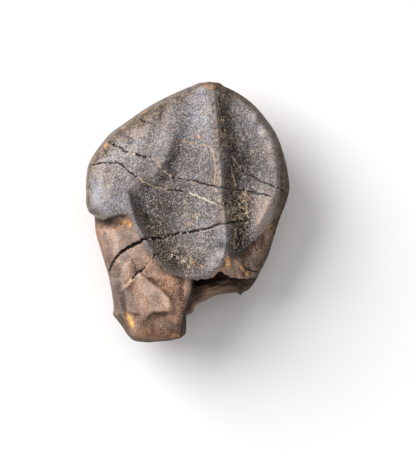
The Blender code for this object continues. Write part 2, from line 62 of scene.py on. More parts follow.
def smooth(knots: Knots, at: Array) -> Array:
    """A curve through knots that never overshoots them: cubic spans whose slopes are limited.

    Args:
        knots: (place, value) pairs in any order.
        at: Places to read the curve at.

    Returns:
        The curve's values, held level beyond the first and last knot.
    """
    place, value = np.array(sorted(knots), float).T
    gap = np.diff(place)
    rise = np.diff(value) / gap
    slope = np.concatenate([rise[:1], np.zeros(len(gap) - 1), rise[-1:]])
    before, after = 2 * gap[1:] + gap[:-1], gap[1:] + 2 * gap[:-1]
    with np.errstate(divide="ignore", invalid="ignore"):
        mean = (before + after) / (before / rise[:-1] + after / rise[1:])
    slope[1:-1] = np.where(rise[:-1] * rise[1:] > 0, mean, 0.0)
    at = np.clip(at, place[0], place[-1])
    k = np.clip(np.searchsorted(place, at, side="right") - 1, 0, len(gap) - 1)
    t = (at - place[k]) / gap[k]
    return (
        value[k] * (1 + 2 * t) * (1 - t) ** 2
        + value[k + 1] * t**2 * (3 - 2 * t)
        + gap[k] * (slope[k] * t * (1 - t) ** 2 - slope[k + 1] * t**2 * (1 - t))
    )


def step(low: float, high: float, at: Array) -> Array:
    """0 below low, 1 above high, and the S-curve 3t^2 - 2t^3 between them."""
    t = np.clip((at - low) / (high - low), 0.0, 1.0)
    return t * t * (3 - 2 * t)


def rounded(distance: Array, radius: Array | float) -> Array:
    """0 on an edge, rising along a quarter circle to 1 at the radius."""
    return np.sqrt(1 - (1 - np.clip(distance / radius, 0, 1)) ** 2)


def bevelled(distance: Array, radius: Array | float) -> Array:
    """0 on an edge and 1 at the radius, by the curve 1 - (1 - t)^1.5, which leaves a slanting side face."""
    return 1 - (1 - np.clip(distance / radius, 0, 1)) ** 1.5


def along_path(x: Array, y: Array, path: Path) -> tuple[Array, Array, Array]:
    """Where points lie relative to a path of straight runs.

    Each point is dropped on to every run, and the nearest foot is kept.

    Args:
        x: Across the tooth.
        y: Along the tooth.
        path: The corners of the path.

    Returns:
        The distance, the same signed positive to the left of the path's direction, and the share of
        the path's length at the nearest foot.
    """
    corners = np.array(path, float)
    runs = np.diff(corners, axis=0)
    lengths = np.hypot(*runs.T)
    done = np.concatenate([[0.0], np.cumsum(lengths)]) / lengths.sum()
    nearest = np.full(np.shape(x), np.inf)
    side = np.zeros(np.shape(x))
    share = np.zeros(np.shape(x))
    for (ax, ay), (rx, ry), length, start, end in zip(corners, runs, lengths, done, done[1:]):
        t = np.clip(((x - ax) * rx + (y - ay) * ry) / length**2, 0, 1)
        away = np.hypot(x - ax - t * rx, y - ay - t * ry)
        closer = away < nearest
        nearest = np.where(closer, away, nearest)
        side = np.where(closer, np.sign(rx * (y - ay) - ry * (x - ax)), side)
        share = np.where(closer, start + t * (end - start), share)
    return nearest, nearest * side, share


def inside(x: Array, y: Array, outline: Path) -> Array:
    """True where a ray to a point's right crosses a closed outline an odd number of times."""
    odd = np.zeros(np.shape(x), bool)
    for (ax, ay), (bx, by) in zip(outline, outline[1:] + outline[:1]):
        if ay != by:
            odd ^= ((ay > y) != (by > y)) & (x < ax + (y - ay) * (bx - ax) / (by - ay))
    return odd


def lattice(i: Array, j: Array, k: Array, seed: int) -> Array:
    """A repeatable number from 0 to 1 for each corner of a cubic lattice, by mixing the bits of its place."""
    mask = np.int64(0xFFFFFFFF)
    h = (i * 374761393 + j * 668265263 + k * 1274126177 + seed * 974711) & mask
    h = ((h ^ (h >> 13)) * 1103515245 + 12345) & mask
    h = ((h ^ (h >> 15)) * 668265263) & mask
    return ((h ^ (h >> 14)) & 0xFFFF) / 65535.0


def noise(x: Array, y: Array, z: Array, wavelength: float, seed: int) -> Array:
    """Value noise from -1 to 1: lattice numbers joined by S-curves along the three axes."""
    cells = [np.asarray(c) / wavelength + 0.37 * seed for c in np.broadcast_arrays(x, y, z)]
    low = [np.floor(c).astype(np.int64) for c in cells]
    t = [(lambda f: f * f * (3 - 2 * f))(c - b) for c, b in zip(cells, low)]
    total = 0.0
    for corner in range(8):
        bits = (corner & 1, corner >> 1 & 1, corner >> 2 & 1)
        weight = np.prod([f if bit else 1 - f for f, bit in zip(t, bits)], axis=0)
        total = total + weight * lattice(*(b + bit for b, bit in zip(low, bits)), seed)
    return 2 * total - 1


@dataclass(frozen=True)
class Rough:
    """Unevenness of a height: noise in octaves, each half as long and half as high as the one before.

    Across and along are scales of x and y. A scale under 1 draws the noise out, and 0 makes it even.
    """

    height: float
    wavelength: float
    seed: int
    octaves: int = 3
    across: float = 1.0
    along: float = 1.0
    level: float = 0.0

    def at(self, x: Array, y: Array) -> Array:
        """Its height at each place."""
        place = (x * self.across, y * self.along, self.level)
        shares = [1 / 2**n for n in range(self.octaves)]
        waves = [noise(*place, self.wavelength / 2**n, self.seed + n) / 2**n for n in range(self.octaves)]
        return self.height * (sum(waves) / sum(shares))


@dataclass(frozen=True)
class Swell:
    """A bell, exp(-(u^2 + v^2)) of the turned and scaled place, or a hollow if its height is negative."""

    x: float
    y: float
    across: float
    along: float
    turn: float
    height: float

    def at(self, x: Array, y: Array) -> Array:
        """Its height at each place."""
        c, s = np.cos(np.radians(self.turn)), np.sin(np.radians(self.turn))
        u = ((x - self.x) * c + (y - self.y) * s) / self.across
        v = ((y - self.y) * c - (x - self.x) * s) / self.along
        return self.height * np.exp(-(u * u + v * v))


@dataclass(frozen=True)
class Rib:
    """A low rib from the crown's margin inwards: a bell across, times a rise and a long fade along it."""

    top: tuple[float, float]
    foot: tuple[float, float]
    width: float
    height: float

    def at(self, x: Array, y: Array) -> Array:
        """Its height at each place."""
        dx, dy = self.foot[0] - self.top[0], self.foot[1] - self.top[1]
        length = np.hypot(dx, dy)
        along = ((x - self.top[0]) * dx + (y - self.top[1]) * dy) / length**2
        aside = ((x - self.top[0]) * dy - (y - self.top[1]) * dx) / length
        body = step(-0.25, 0.15, along) * (1 - step(0.3, 1.15, along))
        return self.height * body * np.exp(-((aside / self.width) ** 2))


def swells(*rows: tuple[float, ...]) -> tuple[Swell, ...]:
    """One swell for each row of x, y, across, along, turn and height."""
    return tuple(Swell(*row) for row in rows)


def total(shapes: tuple, x: Array, y: Array) -> Array:
    """The sum of the heights of swells, ribs or roughness."""
    return sum((shape.at(x, y) for shape in shapes), np.zeros(np.shape(x)))


# ---------------------------------------------------------------------------------- the tooth's form


@dataclass(frozen=True)
class Outline:
    """The tooth seen from above: each side is x as a curve of y."""

    top: float = 18.0
    left: Knots = (
        (18, 3.1), (17.95, 2.2), (17.4, 0.5), (16.6, -1.4), (15.7, -3.3), (14.1, -6.1), (12.4, -8.5),
        (10.8, -10.7), (9.1, -12.1), (7.5, -13.2), (5.8, -13.85), (3.5, -14), (1.5, -14), (0, -13.6),
        (-0.6, -12.85), (-2.4, -12.75), (-4.9, -12.1), (-8.2, -11.15), (-11.5, -10.45), (-13.3, -10.25),
        (-14.1, -10.35), (-14.8, -9.85), (-15.7, -9.15), (-17.2, -8.1), (-17.85, -7.1), (-18, -5.6),
    )  # fmt: skip
    right: Knots = (
        (18, 3.1), (17.95, 4), (17.4, 5), (16.5, 6.8), (14.9, 9), (13.2, 10.5), (10.8, 12.15), (8.3, 13.1),
        (5.8, 13.7), (3.4, 14), (1.7, 13.65), (-0.8, 12.7), (-3.3, 11.9), (-5.8, 11.15), (-8.2, 10),
        (-9.9, 9), (-10.9, 8), (-11.15, 6), (-11.5, 3.9), (-12.1, 2.6), (-12.9, 1.1), (-13.9, 0.6),
        (-14.3, -0.2), (-16.6, -0.25), (-17.3, -0.9), (-17.75, -2.6), (-18, -5.6),
    )  # fmt: skip
    left_rim: Knots = (
        (18, 7.6), (14, 8.6), (8, 9.6), (3, 9.6), (-1, 8.6), (-5, 7.4), (-12, 6.6), (-18, 6.2),
    )  # fmt: skip
    right_rim: Knots = (
        (18, 7.6), (14, 8.6), (8, 9.6), (3, 9.9), (-2, 9.4), (-6, 8.3), (-9.5, 7), (-12.5, 6), (-14.2, 5.9),
        (-18, 6.2),
    )  # fmt: skip

    def in_from(self, x: Array, y: Array, edge: Knots, way: int) -> Array:
        """How far in from one side's edge a point is, measured square to the edge, and 0 on the edge itself.

        Args:
            x: Across the tooth.
            y: Along the tooth, one station for each row.
            edge: The side's curve.
            way: 1 for the left side and -1 for the right.

        Returns:
            The distance to the edge's straight runs, less what the runs miss the curve by there.
        """
        stations = np.array(sorted(knot[0] for knot in edge))
        between = np.interp(np.arange(0, len(stations) - 0.9, 0.25), np.arange(len(stations)), stations)
        reach = smooth(edge, between)
        runs = tuple(zip(reach, between))

        def inward(px: Array, py: Array) -> Array:
            return along_path(px, py, runs)[0] * np.sign(way * (px - np.interp(py, between, reach)))

        on_edge = y[:, :1]
        return np.maximum(inward(x, y) - inward(smooth(edge, on_edge), on_edge), 0)


@dataclass(frozen=True)
class Crown:
    """The enamel face: a domed plate with a scooped basin, a main ridge and low ribs at both margins."""

    spine: Knots = ((18, 9.4), (16, 11), (12, 12.9), (7, 14.2), (2, 14.8), (-3, 15.2), (-9.5, 15.4))
    sag: float = 1.7
    sag_power: float = 2.2
    scoop_share: float = 0.6
    scoop_bevel: float = 3.2
    margin_climb: float = 0.7
    margin_width: float = 1.2
    basin_wall: Knots = (
        (17, -0.7), (14, -1.2), (11, -1.7), (8.5, -2.5), (6.5, -3.4), (5.5, -4.1), (4.8, -5.1), (4, -6.5),
        (3.2, -8), (2.2, -8.1), (1, -7.8), (-0.6, -7.3), (-2.2, -6.7), (-3.8, -5.9), (-5.4, -4.9), (-7, -3.8),
        (-8.2, -2.8), (-9.2, -1.4),
    )  # fmt: skip
    basin_depth: Knots = (
        (17, 0.25), (13, 0.55), (10, 0.85), (8, 1.3), (4, 1.6), (0, 2.15), (-3, 2.25), (-6, 1.9), (-9, 1.2),
    )  # fmt: skip
    basin_wall_width: Knots = (
        (17, 1.6), (12, 1.7), (10, 1.5), (6.8, 1.6), (5.4, 2.8), (4, 4.2), (3.2, 3.4), (2.4, 2.3), (1.4, 1.8),
        (0, 1.9), (-2, 2.7), (-5, 2.6), (-9, 2),
    )  # fmt: skip
    basin_floor: Knots = ((17, 1), (9, 0.85), (3, 0.6), (-9, 0.55))
    ridge: Knots = (
        (17.6, 3.3), (15.2, 3.7), (12.7, 4.05), (10.9, 4.2), (7.8, 4.35), (5.4, 4.6), (3.6, 4.6), (1.5, 4.75),
        (0, 4.95), (-2, 5.25), (-4, 5.2), (-6, 4.8), (-8, 4.4),
    )  # fmt: skip
    ridge_drop: Knots = (
        (17.8, 0.7), (15, 1.7), (11, 2.2), (6, 2.1), (2, 1.8), (-3, 1.8), (-5.5, 1.5), (-7.5, 0.5),
    )  # fmt: skip
    ridge_flank: Knots = ((17, 1.3), (15, 1.7), (12, 2.1), (8, 2.7), (4, 2.8), (-2, 2.3), (-8, 2.1))
    trough: Knots = ((17, 5.8), (12, 7.2), (8, 8.3), (2, 8.2), (-4, 7.8), (-8, 7.6))
    ribs: tuple[Rib, ...] = (
        Rib((-2.6, 15.9), (-4, 5.6), 1, 0.45),
        Rib((-5.4, 14.2), (-7.4, 7.4), 1.1, 0.3),
        Rib((-8.6, 12), (-9.8, 6.4), 1, 0.22),
        Rib((7.6, 15.8), (6.9, 12.4), 0.6, 0.2),
        Rib((9.7, 14), (8.4, 11), 0.7, 0.3),
        Rib((11.3, 12), (9.6, 9.6), 0.7, 0.32),
        Rib((12.6, 9.8), (10.6, 8), 0.7, 0.28),
        Rib((13.3, 7.2), (10.9, 6.2), 0.7, 0.2),
    )
    bumps: tuple[Swell, ...] = swells(
        (-11.6, 1.6, 1.9, 2.4, -8, 0.85), (-10.9, 4.6, 0.45, 1.9, -10, -0.14),
        (-11.9, 2.2, 0.3, 1.5, -4, -0.06), (11.4, 0.6, 1.8, 3.4, 14, 0.4), (3, 14.5, 1.2, 3.4, -4, 0.35),
        (-3.5, 13.7, 0.55, 1.7, -10, -0.35), (3.9, -6.7, 1.1, 1.7, -42, 0.4), (7.9, 7.6, 0.9, 1.8, 0, -0.25),
    )  # fmt: skip

    def height(self, x: Array, y: Array, left: Array, right: Array) -> Array:
        """The face's height: dome, less the basin, less the drop right of the ridge, plus ribs and bumps."""
        middle, half = (left + right) / 2, np.maximum((right - left) / 2, 3.0)
        z = smooth(self.spine, y) - self.sag * (np.abs(x - middle) / half) ** self.sag_power
        wall, ridge = smooth(self.basin_wall, y), smooth(self.ridge, y)
        across = np.clip((x - wall) / (ridge - wall), 0, 1)
        past_wall = (x - wall) / smooth(self.basin_wall_width, y)
        scoop = self.scoop_share * step(-0.2, 1.0, past_wall)
        scoop = scoop + (1 - self.scoop_share) * bevelled(past_wall, self.scoop_bevel)
        z = z - smooth(self.basin_depth, y) * scoop * (1 - across) ** smooth(self.basin_floor, y)
        trough = smooth(self.trough, y)
        flank = bevelled(x - ridge, smooth(self.ridge_flank, y))
        climb = step(0.0, 1.0, (x - trough) / np.maximum(right - self.margin_width - trough, 1.0))
        z = z - smooth(self.ridge_drop, y) * flank * (1 - self.margin_climb * climb)
        return z + total(self.ribs, x, y) + total(self.bumps, x, y)


@dataclass(frozen=True)
class Root:
    """The root's face: a rounded block with a slanting left side, hollows, and two raised flakes."""

    spine: Knots = ((0, 14.7), (-5, 14.7), (-10, 14.3), (-13.5, 14), (-16, 13.4), (-18, 12.2))
    shoulder_slope: float = 0.55
    shoulder_power: float = 1.15
    shoulder_shift: float = 0.8
    shoulder: Knots = ((0, -10.6), (-6, -10), (-11, -9.2), (-15, -8), (-18, -6.5))
    bumps: tuple[Swell, ...] = swells(
        (-10.9, -1.6, 2.2, 0.75, -4, -1.3), (-8.8, -12.4, 0.5, 1.9, 8, -1.1),
        (-7.4, -7.6, 0.35, 0.9, 20, -0.2), (-9, -15.4, 0.6, 1.3, 24, -0.3),
        (-7.9, -14.9, 0.35, 1.1, 20, -0.5), (-8.2, -8.3, 0.8, 1.2, -12, 0.35), (-7, -6.2, 2.2, 1.6, 0, -0.15),
        (-4.2, -15.8, 2.4, 1.5, 0, -0.75), (-3.4, -9.6, 0.8, 2.2, 40, -0.15),
        (-2.7, -12.7, 0.55, 0.8, 20, 0.3), (-4.6, -14.5, 1.2, 0.4, 0, -0.2), (-6, -14.3, 0.5, 0.5, 0, 0.3),
        (-6.4, -9.3, 1.4, 0.6, -38, 0.2), (-5.4, -12, 2, 1.6, 0, 0.3),
    )  # fmt: skip
    flake: Path = (
        (-6.6, -8.3), (-5.6, -9), (-4.4, -10), (-3.3, -10.8), (-2.4, -11.9), (-2.1, -12.8), (-2.5, -13.6),
        (-4.6, -13.7), (-5.6, -14.4), (-6.6, -14), (-8.2, -13.6), (-8.9, -11.8), (-9.2, -10.8), (-7.9, -9.5),
    )  # fmt: skip
    flake_height: float = 0.6
    flake_edge: float = 0.2
    scale: Path = (
        (-7.75, -6.7), (-7.25, -7.3), (-7.1, -8.1), (-6.9, -8.9), (-8, -10.2), (-9.2, -10.9), (-9.25, -9),
        (-8.9, -7.85), (-8.35, -7),
    )  # fmt: skip
    scale_height: float = 0.28
    right_slope: float = 0.3

    def height(self, x: Array, y: Array) -> Array:
        """The face's height: the spine, less both shoulders, plus bumps and the steps of two flakes."""
        left = smooth(self.shoulder, y) + self.shoulder_shift - x
        z = smooth(self.spine, y) - self.shoulder_slope * np.maximum(left, 0) ** self.shoulder_power
        z = z - step(4.5, 7.0, x) - self.right_slope * np.maximum(x - 5.5, 0)
        for rise, flake in ((self.scale_height, self.scale), (self.flake_height, self.flake)):
            z = z + rise * step(-self.flake_edge, self.flake_edge, self.on_flake(x, y, flake))
        return z + total(self.bumps, x, y)

    def on_flake(self, x: Array, y: Array, flake: Path) -> Array:
        """The distance in from a flake's rim, negative outside it."""
        rim, _, _ = along_path(x, y, flake + flake[:1])
        return np.where(inside(x, y, flake), rim, -rim)


@dataclass(frozen=True)
class Break:
    """Where the root's right side is gone: the wall under the crown, the prong's side and the low stub."""

    crown_y: float = -8.95
    crown_rise: Knots = (
        (0.2, 0.2), (1.3, -0.3), (2.6, -0.15), (3.3, 0), (4, 0.6), (4.5, 0.85), (5.2, 0.35), (6.2, -0.1),
        (8, -0.2), (9.6, 0),
    )  # fmt: skip
    prong_side: Knots = ((-8, 0.5), (-9.5, 0.35), (-12, -0.15), (-14.5, -0.95), (-18, -1.6))
    bend: float = 1.2
    crown_wall: float = 0.35
    prong_wall: float = 0.75
    undercut: float = 1.1
    undercut_length: float = 1.2
    stub: Knots = (
        (-8, 9.4), (-9.6, 9.6), (-10.6, 10.6), (-11.6, 10.7), (-13, 9.6), (-16, 8.6), (-18, 8),
    )  # fmt: skip
    ledge: Swell = Swell(8.3, -9.6, 3.4, 1.6, 0, 1.5)
    chip: Swell = Swell(7.25, -11, 0.32, 0.7, 0, 0.42)
    stub_rounding: float = 2.4
    edge_chips: tuple[Rough, Rough] = (Rough(0.24, 1.0, 63, along=0), Rough(0.14, 0.45, 67, 2, along=0))
    side_chips: Rough = Rough(0.14, 1.7, 65, across=0)
    stub_humps: Rough = Rough(0.5, 2.2, 21)
    stub_layers: Rough = Rough(0.3, 0.7, 23, 1, across=0.3)

    def bent(self, x: Array, y: Array) -> Array:
        """y moved so that sections near the crown's broken base run along its broken edge."""
        coarse, fine = self.edge_chips
        rise = smooth(self.crown_rise, x) + coarse.at(x, y) + fine.at(x, y)
        return y + rise * np.exp(-(((y - self.crown_y) / self.bend) ** 2)) - self.chip.at(x, y)


class Fill(Enum):
    """What is in a crack: nothing, so that it is painted dark as shade, or tan or chalky mineral."""

    OPEN = 0.0
    TAN = 0.6
    CHALK = 1.0


@dataclass(frozen=True)
class Crack:
    """A crack along a path: a V groove whose half width goes evenly from its first value to its last.

    What fills it goes by stretches of x, each of which fades in and out. The groove is wider by a
    shoulder than the dark line in it.
    """

    half_width: tuple[float, float]
    depth: float
    path: Path
    filled: tuple[tuple[float, float, Fill], ...] = ()
    fade: float = 0.3
    shoulder: float = 0.08

    def fill(self, x: Array) -> Array:
        """The value of each stretch's fill within it and Fill.OPEN outside them, with short fades."""
        shares = [
            fill.value * step(a - self.fade, a + self.fade, x) * (1 - step(b - self.fade, b + self.fade, x))
            for a, b, fill in self.filled
        ]
        return Fill.OPEN.value + sum(shares, 0 * x)


CRACKS = (
    Crack((0.08, 0.2), 0.6, (
        (-10.9, -8.3), (-10.6, -7.6), (-10.2, -6.9), (-9.8, -6.2), (-9.2, -5.6), (-8.3, -5), (-7.5, -4.5),
        (-6.6, -4.15), (-6.2, -3.8), (-5.7, -3.6),
    )),
    Crack((0.17, 0.06), 0.6, (
        (-6.5, -4.05), (-6.2, -3.8), (-5.4, -3.5), (-4.5, -3.6), (-3.9, -3.55), (-3, -3.35), (-2, -3.1),
        (-1, -2.9), (0, -2.8), (1, -2.6), (1.7, -2.4), (2.6, -2.3), (3.4, -2), (4.1, -1.65), (5, -1.6),
        (5.7, -1.4), (6.6, -1.25), (7.2, -1.2), (8.2, -1.1), (8.9, -0.95),
    )),
    Crack((0.12, 0.09), 0.1, (
        (-11.1, 9.7), (-10.4, 9.4), (-9.8, 9.1), (-9, 8.6), (-8.4, 8.25), (-7.8, 7.95), (-7, 7.85),
        (-6.3, 7.6), (-5.6, 7.55), (-5, 7.5), (-4.4, 7.1), (-4, 6.5), (-3.5, 5.8), (-3, 5.3), (-2.3, 4.95),
        (-1.7, 4.8), (-1, 4.65), (0, 4.4), (0.6, 4.35), (1.1, 4.25), (2, 3.9), (3, 3.65), (4, 3.5),
        (5.2, 3.3), (6.5, 3.05), (7.6, 2.95), (9, 2.7), (10.3, 2.4), (11.5, 2.2), (12.2, 2.1),
    ), filled=((-8.1, -7, Fill.TAN), (-5, -2.1, Fill.TAN))),
    Crack((0.08, 0.08), 0.1, (
        (-13.4, 6.35), (-12.8, 6.5), (-12.3, 6.65), (-11.8, 6.75), (-10.7, 6.7), (-9.8, 6.8), (-9.2, 6.6),
        (-8.6, 6.2), (-8, 5.6), (-7.4, 5.1), (-6.6, 4.6), (-5.9, 4.1), (-5, 3.7), (-4.2, 3.35), (-3.5, 3.15),
        (-2.8, 3.05), (-1.8, 2.95), (-0.8, 2.9), (0.2, 2.65),
    ), filled=((-6.9, -2.8, Fill.TAN),)),
    Crack((0.07, 0.13), 0, (
        (-0.2, 2.75), (0.2, 2.65), (1, 2.3), (2, 1.95), (2.9, 1.5), (3.8, 1.15), (4.4, 1.1), (5.1, 1.15),
        (6, 1.3), (6.6, 1.4),
    ), filled=((0, 4, Fill.CHALK),)),
    Crack((0.1, 0.15), 0.08, (
        (3.95, 17.3), (4.15, 16.3), (4.35, 15.1), (4.6, 13.8), (4.8, 12.4), (4.95, 11),
    )),
    Crack((0.055, 0.055), 0.08, ((-6.9, 12.9), (-6.3, 12.6), (-5.6, 12.3), (-4.9, 12.05), (-4.2, 11.75))),
    Crack((0.08, 0.08), 0.04, (
        (-0.8, 9.95), (-0.4, 9.8), (0, 9.65), (0.4, 9.4), (1, 9.35), (1.9, 9.2), (2.7, 9.15), (3.1, 8.9),
        (3.5, 8.2), (3.7, 7), (3.8, 6), (3.7, 5), (3.7, 4), (3.9, 3.1), (4.2, 2.3), (4.7, 0.5), (4.8, -0.5),
        (4.5, -1.2),
    ), filled=((-1.5, 6, Fill.TAN),)),
    Crack((0.08, 0.1), 0.1, (
        (6, 7.8), (6.4, 7.2), (6.8, 6.6), (7.2, 6), (7.7, 5.6), (8.1, 5.2), (8.8, 5), (9.4, 4.6), (10.2, 4.2),
        (11, 3.8), (11.8, 3.5), (12.6, 3.2), (13.1, 2.8), (13.5, 2.6),
    ), filled=((5.5, 7.4, Fill.TAN),)),
    Crack((0.07, 0.07), 0.04, (
        (5.9, 6.8), (6, 5.5), (6.3, 4.8), (6.5, 4), (6.7, 3.4),
    ), filled=((5, 7, Fill.TAN),)),
    Crack((0.07, 0.07), 0.04, (
        (4.1, 15.4), (4.4, 13.9), (4.8, 12.4), (5, 11.4), (5.2, 10.2),
    ), filled=((3.5, 6, Fill.TAN),)),
    Crack((0.07, 0.07), 0.04, ((7.9, 3), (8, 0), (8.4, -0.9)), filled=((7, 9, Fill.TAN),)),
    Crack((0.11, 0.08), 0.2, (
        (-3.6, -5.6), (-4.3, -5.8), (-4.9, -5.9), (-4.9, -6.6), (-5.4, -7.3), (-5.9, -7.6), (-6.3, -8),
        (-6.9, -8.3), (-7.3, -8.9), (-8, -9.5), (-8.8, -10.2), (-9.2, -10.6),
    ), filled=((-5.9, -4.8, Fill.TAN), (-9.4, -7.6, Fill.TAN))),
    Crack((0.06, 0.06), 0.05, ((7.6, -7.3), (8.2, -7.8), (9, -8.1), (9.8, -8.3))),
    Crack((0.06, 0.06), 0, ((6.4, -2), (6.45, -3.2), (6.35, -4.2), (6.4, -5.2)), filled=((5, 8, Fill.TAN),)),
)  # fmt: skip


@dataclass(frozen=True)
class Back:
    """The hidden face: it bulges to a flat worn patch, and a second worn plane rises to the crown's tip."""

    bulge: float = 0.8
    middle: tuple[float, float] = (-0.4, -2.4)
    across: tuple[float, float] = (9.0, 2.1)
    along: tuple[float, float] = (12.0, 2.4)
    facet_start: float = 5.6
    facet_slope: float = 0.5
    groove: Swell = Swell(-5, -17, 1.7, 5, 0, 1.5)

    def height(self, x: Array, y: Array, rim: Array) -> Array:
        """A grooved paraboloid, joined softly to the facet's slanting plane and kept under the rim."""
        z = self.across[1] * ((x - self.middle[0]) / self.across[0]) ** 2 - self.bulge
        z = z + self.along[1] * ((y - self.middle[1]) / self.along[0]) ** 2 + self.groove.at(x, y)
        facet = self.facet_slope * (y - self.facet_start)
        return np.minimum(np.logaddexp(4 * z, 4 * facet) / 4, rim - 0.6)


@dataclass
class Tooth:
    """The whole tooth: its closed surface, the marks that its finish reads, and the object made of them."""

    outline: Outline = Outline()
    crown: Crown = Crown()
    root: Root = Root()
    broken: Break = Break()
    back: Back = Back()
    rings: int = 330
    around: int = 300
    end_gap: float = 0.1
    front_share: float = 0.7
    left_rounding: Knots = ((18, 1), (12, 1.5), (6, 2.3), (-6, 2.4), (-18, 1.8))
    right_rounding: Knots = ((18, 0.8), (10, 1.1), (6, 1.5), (4, 1.8), (0, 2.3), (-5, 3.8), (-18, 3.8))
    right_bevel: Knots = ((18, 0.2), (9, 0.5), (6, 1), (-1, 1), (-4, 0.5), (-18, 0))
    prong_rounding: float = 0.7
    prong_corner: float = 0.4
    root_end_rounding: float = 1.6
    root_end: float = 0.45
    back_rounding: Knots = ((18, 7), (0, 9), (-8, 7), (-18, 4.5))
    enamel_base: Path = (
        (-14.6, 0.1), (-13.2, -0.5), (-12.2, -0.95), (-11.4, -1.15), (-10.8, -0.9), (-10.2, -0.45),
        (-9.2, -0.2), (-8.3, -0.2), (-7.7, -0.8), (-6.9, -2.2), (-6, -3.6), (-5, -5.2), (-4, -6.7), (-3, -8),
        (-2, -8.7), (-0.5, -9), (2.4, -8.9), (3.6, -8.2), (4.8, -7.1), (5.6, -6.1), (6.8, -5.5), (8.4, -4.4),
        (10.2, -2.9), (11.8, -1.1), (14.6, 1.6),
    )  # fmt: skip
    enamel_step: float = 0.17
    enamel_tongue: Swell = Swell(2.2, -9.1, 1.7, 0.6, 0, 0.55)
    wander: tuple[Rough, Rough] = (Rough(0.1, 1.3, 3, 2), Rough(0.1, 1.3, 7, 2, level=9))
    back_humps: Rough = Rough(0.22, 3.0, 71, along=0.7)
    dimples: tuple[Rough, Rough] = (Rough(0.07, 2.2, 31), Rough(0.028, 0.8, 37, 2))
    ripples: tuple[Rough, Rough] = (Rough(0.14, 1.9, 41, along=0.45), Rough(0.05, 0.8, 43, 2, along=0.6))
    trial_stations: int = 400
    trial_places: int = 481
    evening_rounds: int = 6
    relief_rounds: int = 14
    marks: dict[str, Array] = field(default_factory=dict)

    def surface(self, y: Array, s: Array) -> tuple[Array, dict[str, Array]]:
        """Points of the surface, and what the marks need there.

        s runs from 0 at the left rim over the front to 1 at the right rim, and under the back to 2.
        x swings from side to side as -cos(pi s). The height is the rim's, plus the face's rise above
        it times a quarter-circle rounding of the distance to the edge.

        Args:
            y: Stations, one for each row.
            s: Places round the section.

        Returns:
            The points, and a dict of named arrays.
        """
        o, b = self.outline, self.broken
        left, right = smooth(o.left, y), smooth(o.right, y)
        x = (left + right) / 2 - (right - left) / 2 * np.cos(np.pi * s)
        share = (1 - np.cos(np.pi * s)) / 2
        rim = smooth(o.left_rim, y) * (1 - share) + smooth(o.right_rim, y) * share
        from_left, from_right = o.in_from(x, y, o.left, 1), o.in_from(x, y, o.right, -1)
        front = s <= 1
        past_side = x - smooth(b.prong_side, y) + b.side_chips.at(x, y)
        past_base = b.crown_y - y
        lost = np.minimum(past_side / b.prong_wall, past_base / b.crown_wall)
        by = b.bent(x, y)
        wx, wy = x + self.wander[0].at(x, by), by + self.wander[1].at(x, by)
        _, enamel, _ = along_path(wx, wy, self.enamel_base)
        covered = step(-self.enamel_step, self.enamel_step, enamel)
        face = self.root.height(wx, wy) * (1 - covered) + self.crown.height(wx, wy, left, right) * covered
        face = face + self.fine_relief(x, by, covered)
        cracks = self.read_cracks(wx, wy)
        face = face - cracks["depth"]
        end = self.root_end + (1 - self.root_end) * rounded(y + o.top, self.root_end_rounding)
        whole = rim + (face - rim) * self.edge_rounding(y, from_left, from_right, past_side) * end
        corner = np.where(y < b.crown_y, np.maximum(-past_side, 0), 9.0)
        whole = whole - self.prong_corner * (1 - rounded(corner, self.prong_rounding))
        stub = smooth(b.stub, y) + b.ledge.at(x, y) + b.stub_humps.at(x, y) + b.stub_layers.at(x, by)
        stub = rim + (stub - rim) * rounded(from_right, b.stub_rounding) * end
        standing = 1 - step(0.0, 1.0, lost)
        height = stub + (whole - stub) * standing
        inwards = rounded(np.minimum(from_left, from_right), smooth(self.back_rounding, y))
        back = self.back.height(x, y, rim) + self.back_humps.at(x, y)
        under = rim + (back - rim) * inwards * end
        z = np.where(front, height, under)
        under_crown = (1 - standing) * step(0.0, 1.5, past_side) * step(0.0, 1.5, from_right)
        fade = np.exp(-np.maximum(past_base, 0) / b.undercut_length)
        inward = b.undercut * np.where(front, under_crown, 0.0) * fade
        points = np.stack([x, by + inward, z], axis=-1)
        facts = {
            "front": front * 1.0, "enamel": enamel, "standing": standing, "wx": wx, "wy": wy,
            "from_left": from_left, "from_right": from_right, "past_side": past_side, "past_base": past_base,
            **{f"crack_{name}": value for name, value in cracks.items()},
        }  # fmt: skip
        return points, facts

    def edge_rounding(self, y: Array, from_left: Array, from_right: Array, past_side: Array) -> Array:
        """0 on the rim and 1 well in from it: quarter circles, and bevels on the right side."""
        on_prong = np.where(y < self.broken.crown_y, 1 - step(1.0, 2.5, past_side), 0.0)
        radius = smooth(self.right_rounding, y)
        radius = radius + (self.prong_rounding - radius) * on_prong
        bevel = smooth(self.right_bevel, y)
        right = rounded(from_right, radius) * (1 - bevel) + bevelled(from_right, radius) * bevel
        return rounded(from_left, smooth(self.left_rounding, y)) * right

    def fine_relief(self, x: Array, y: Array, covered: Array) -> Array:
        """Small unevenness: shallow dimples on enamel, and longer ripples along the root on dentine."""
        enamel, dentine = total(self.dimples, x, y), total(self.ripples, x, y)
        return dentine + (enamel - dentine) * covered

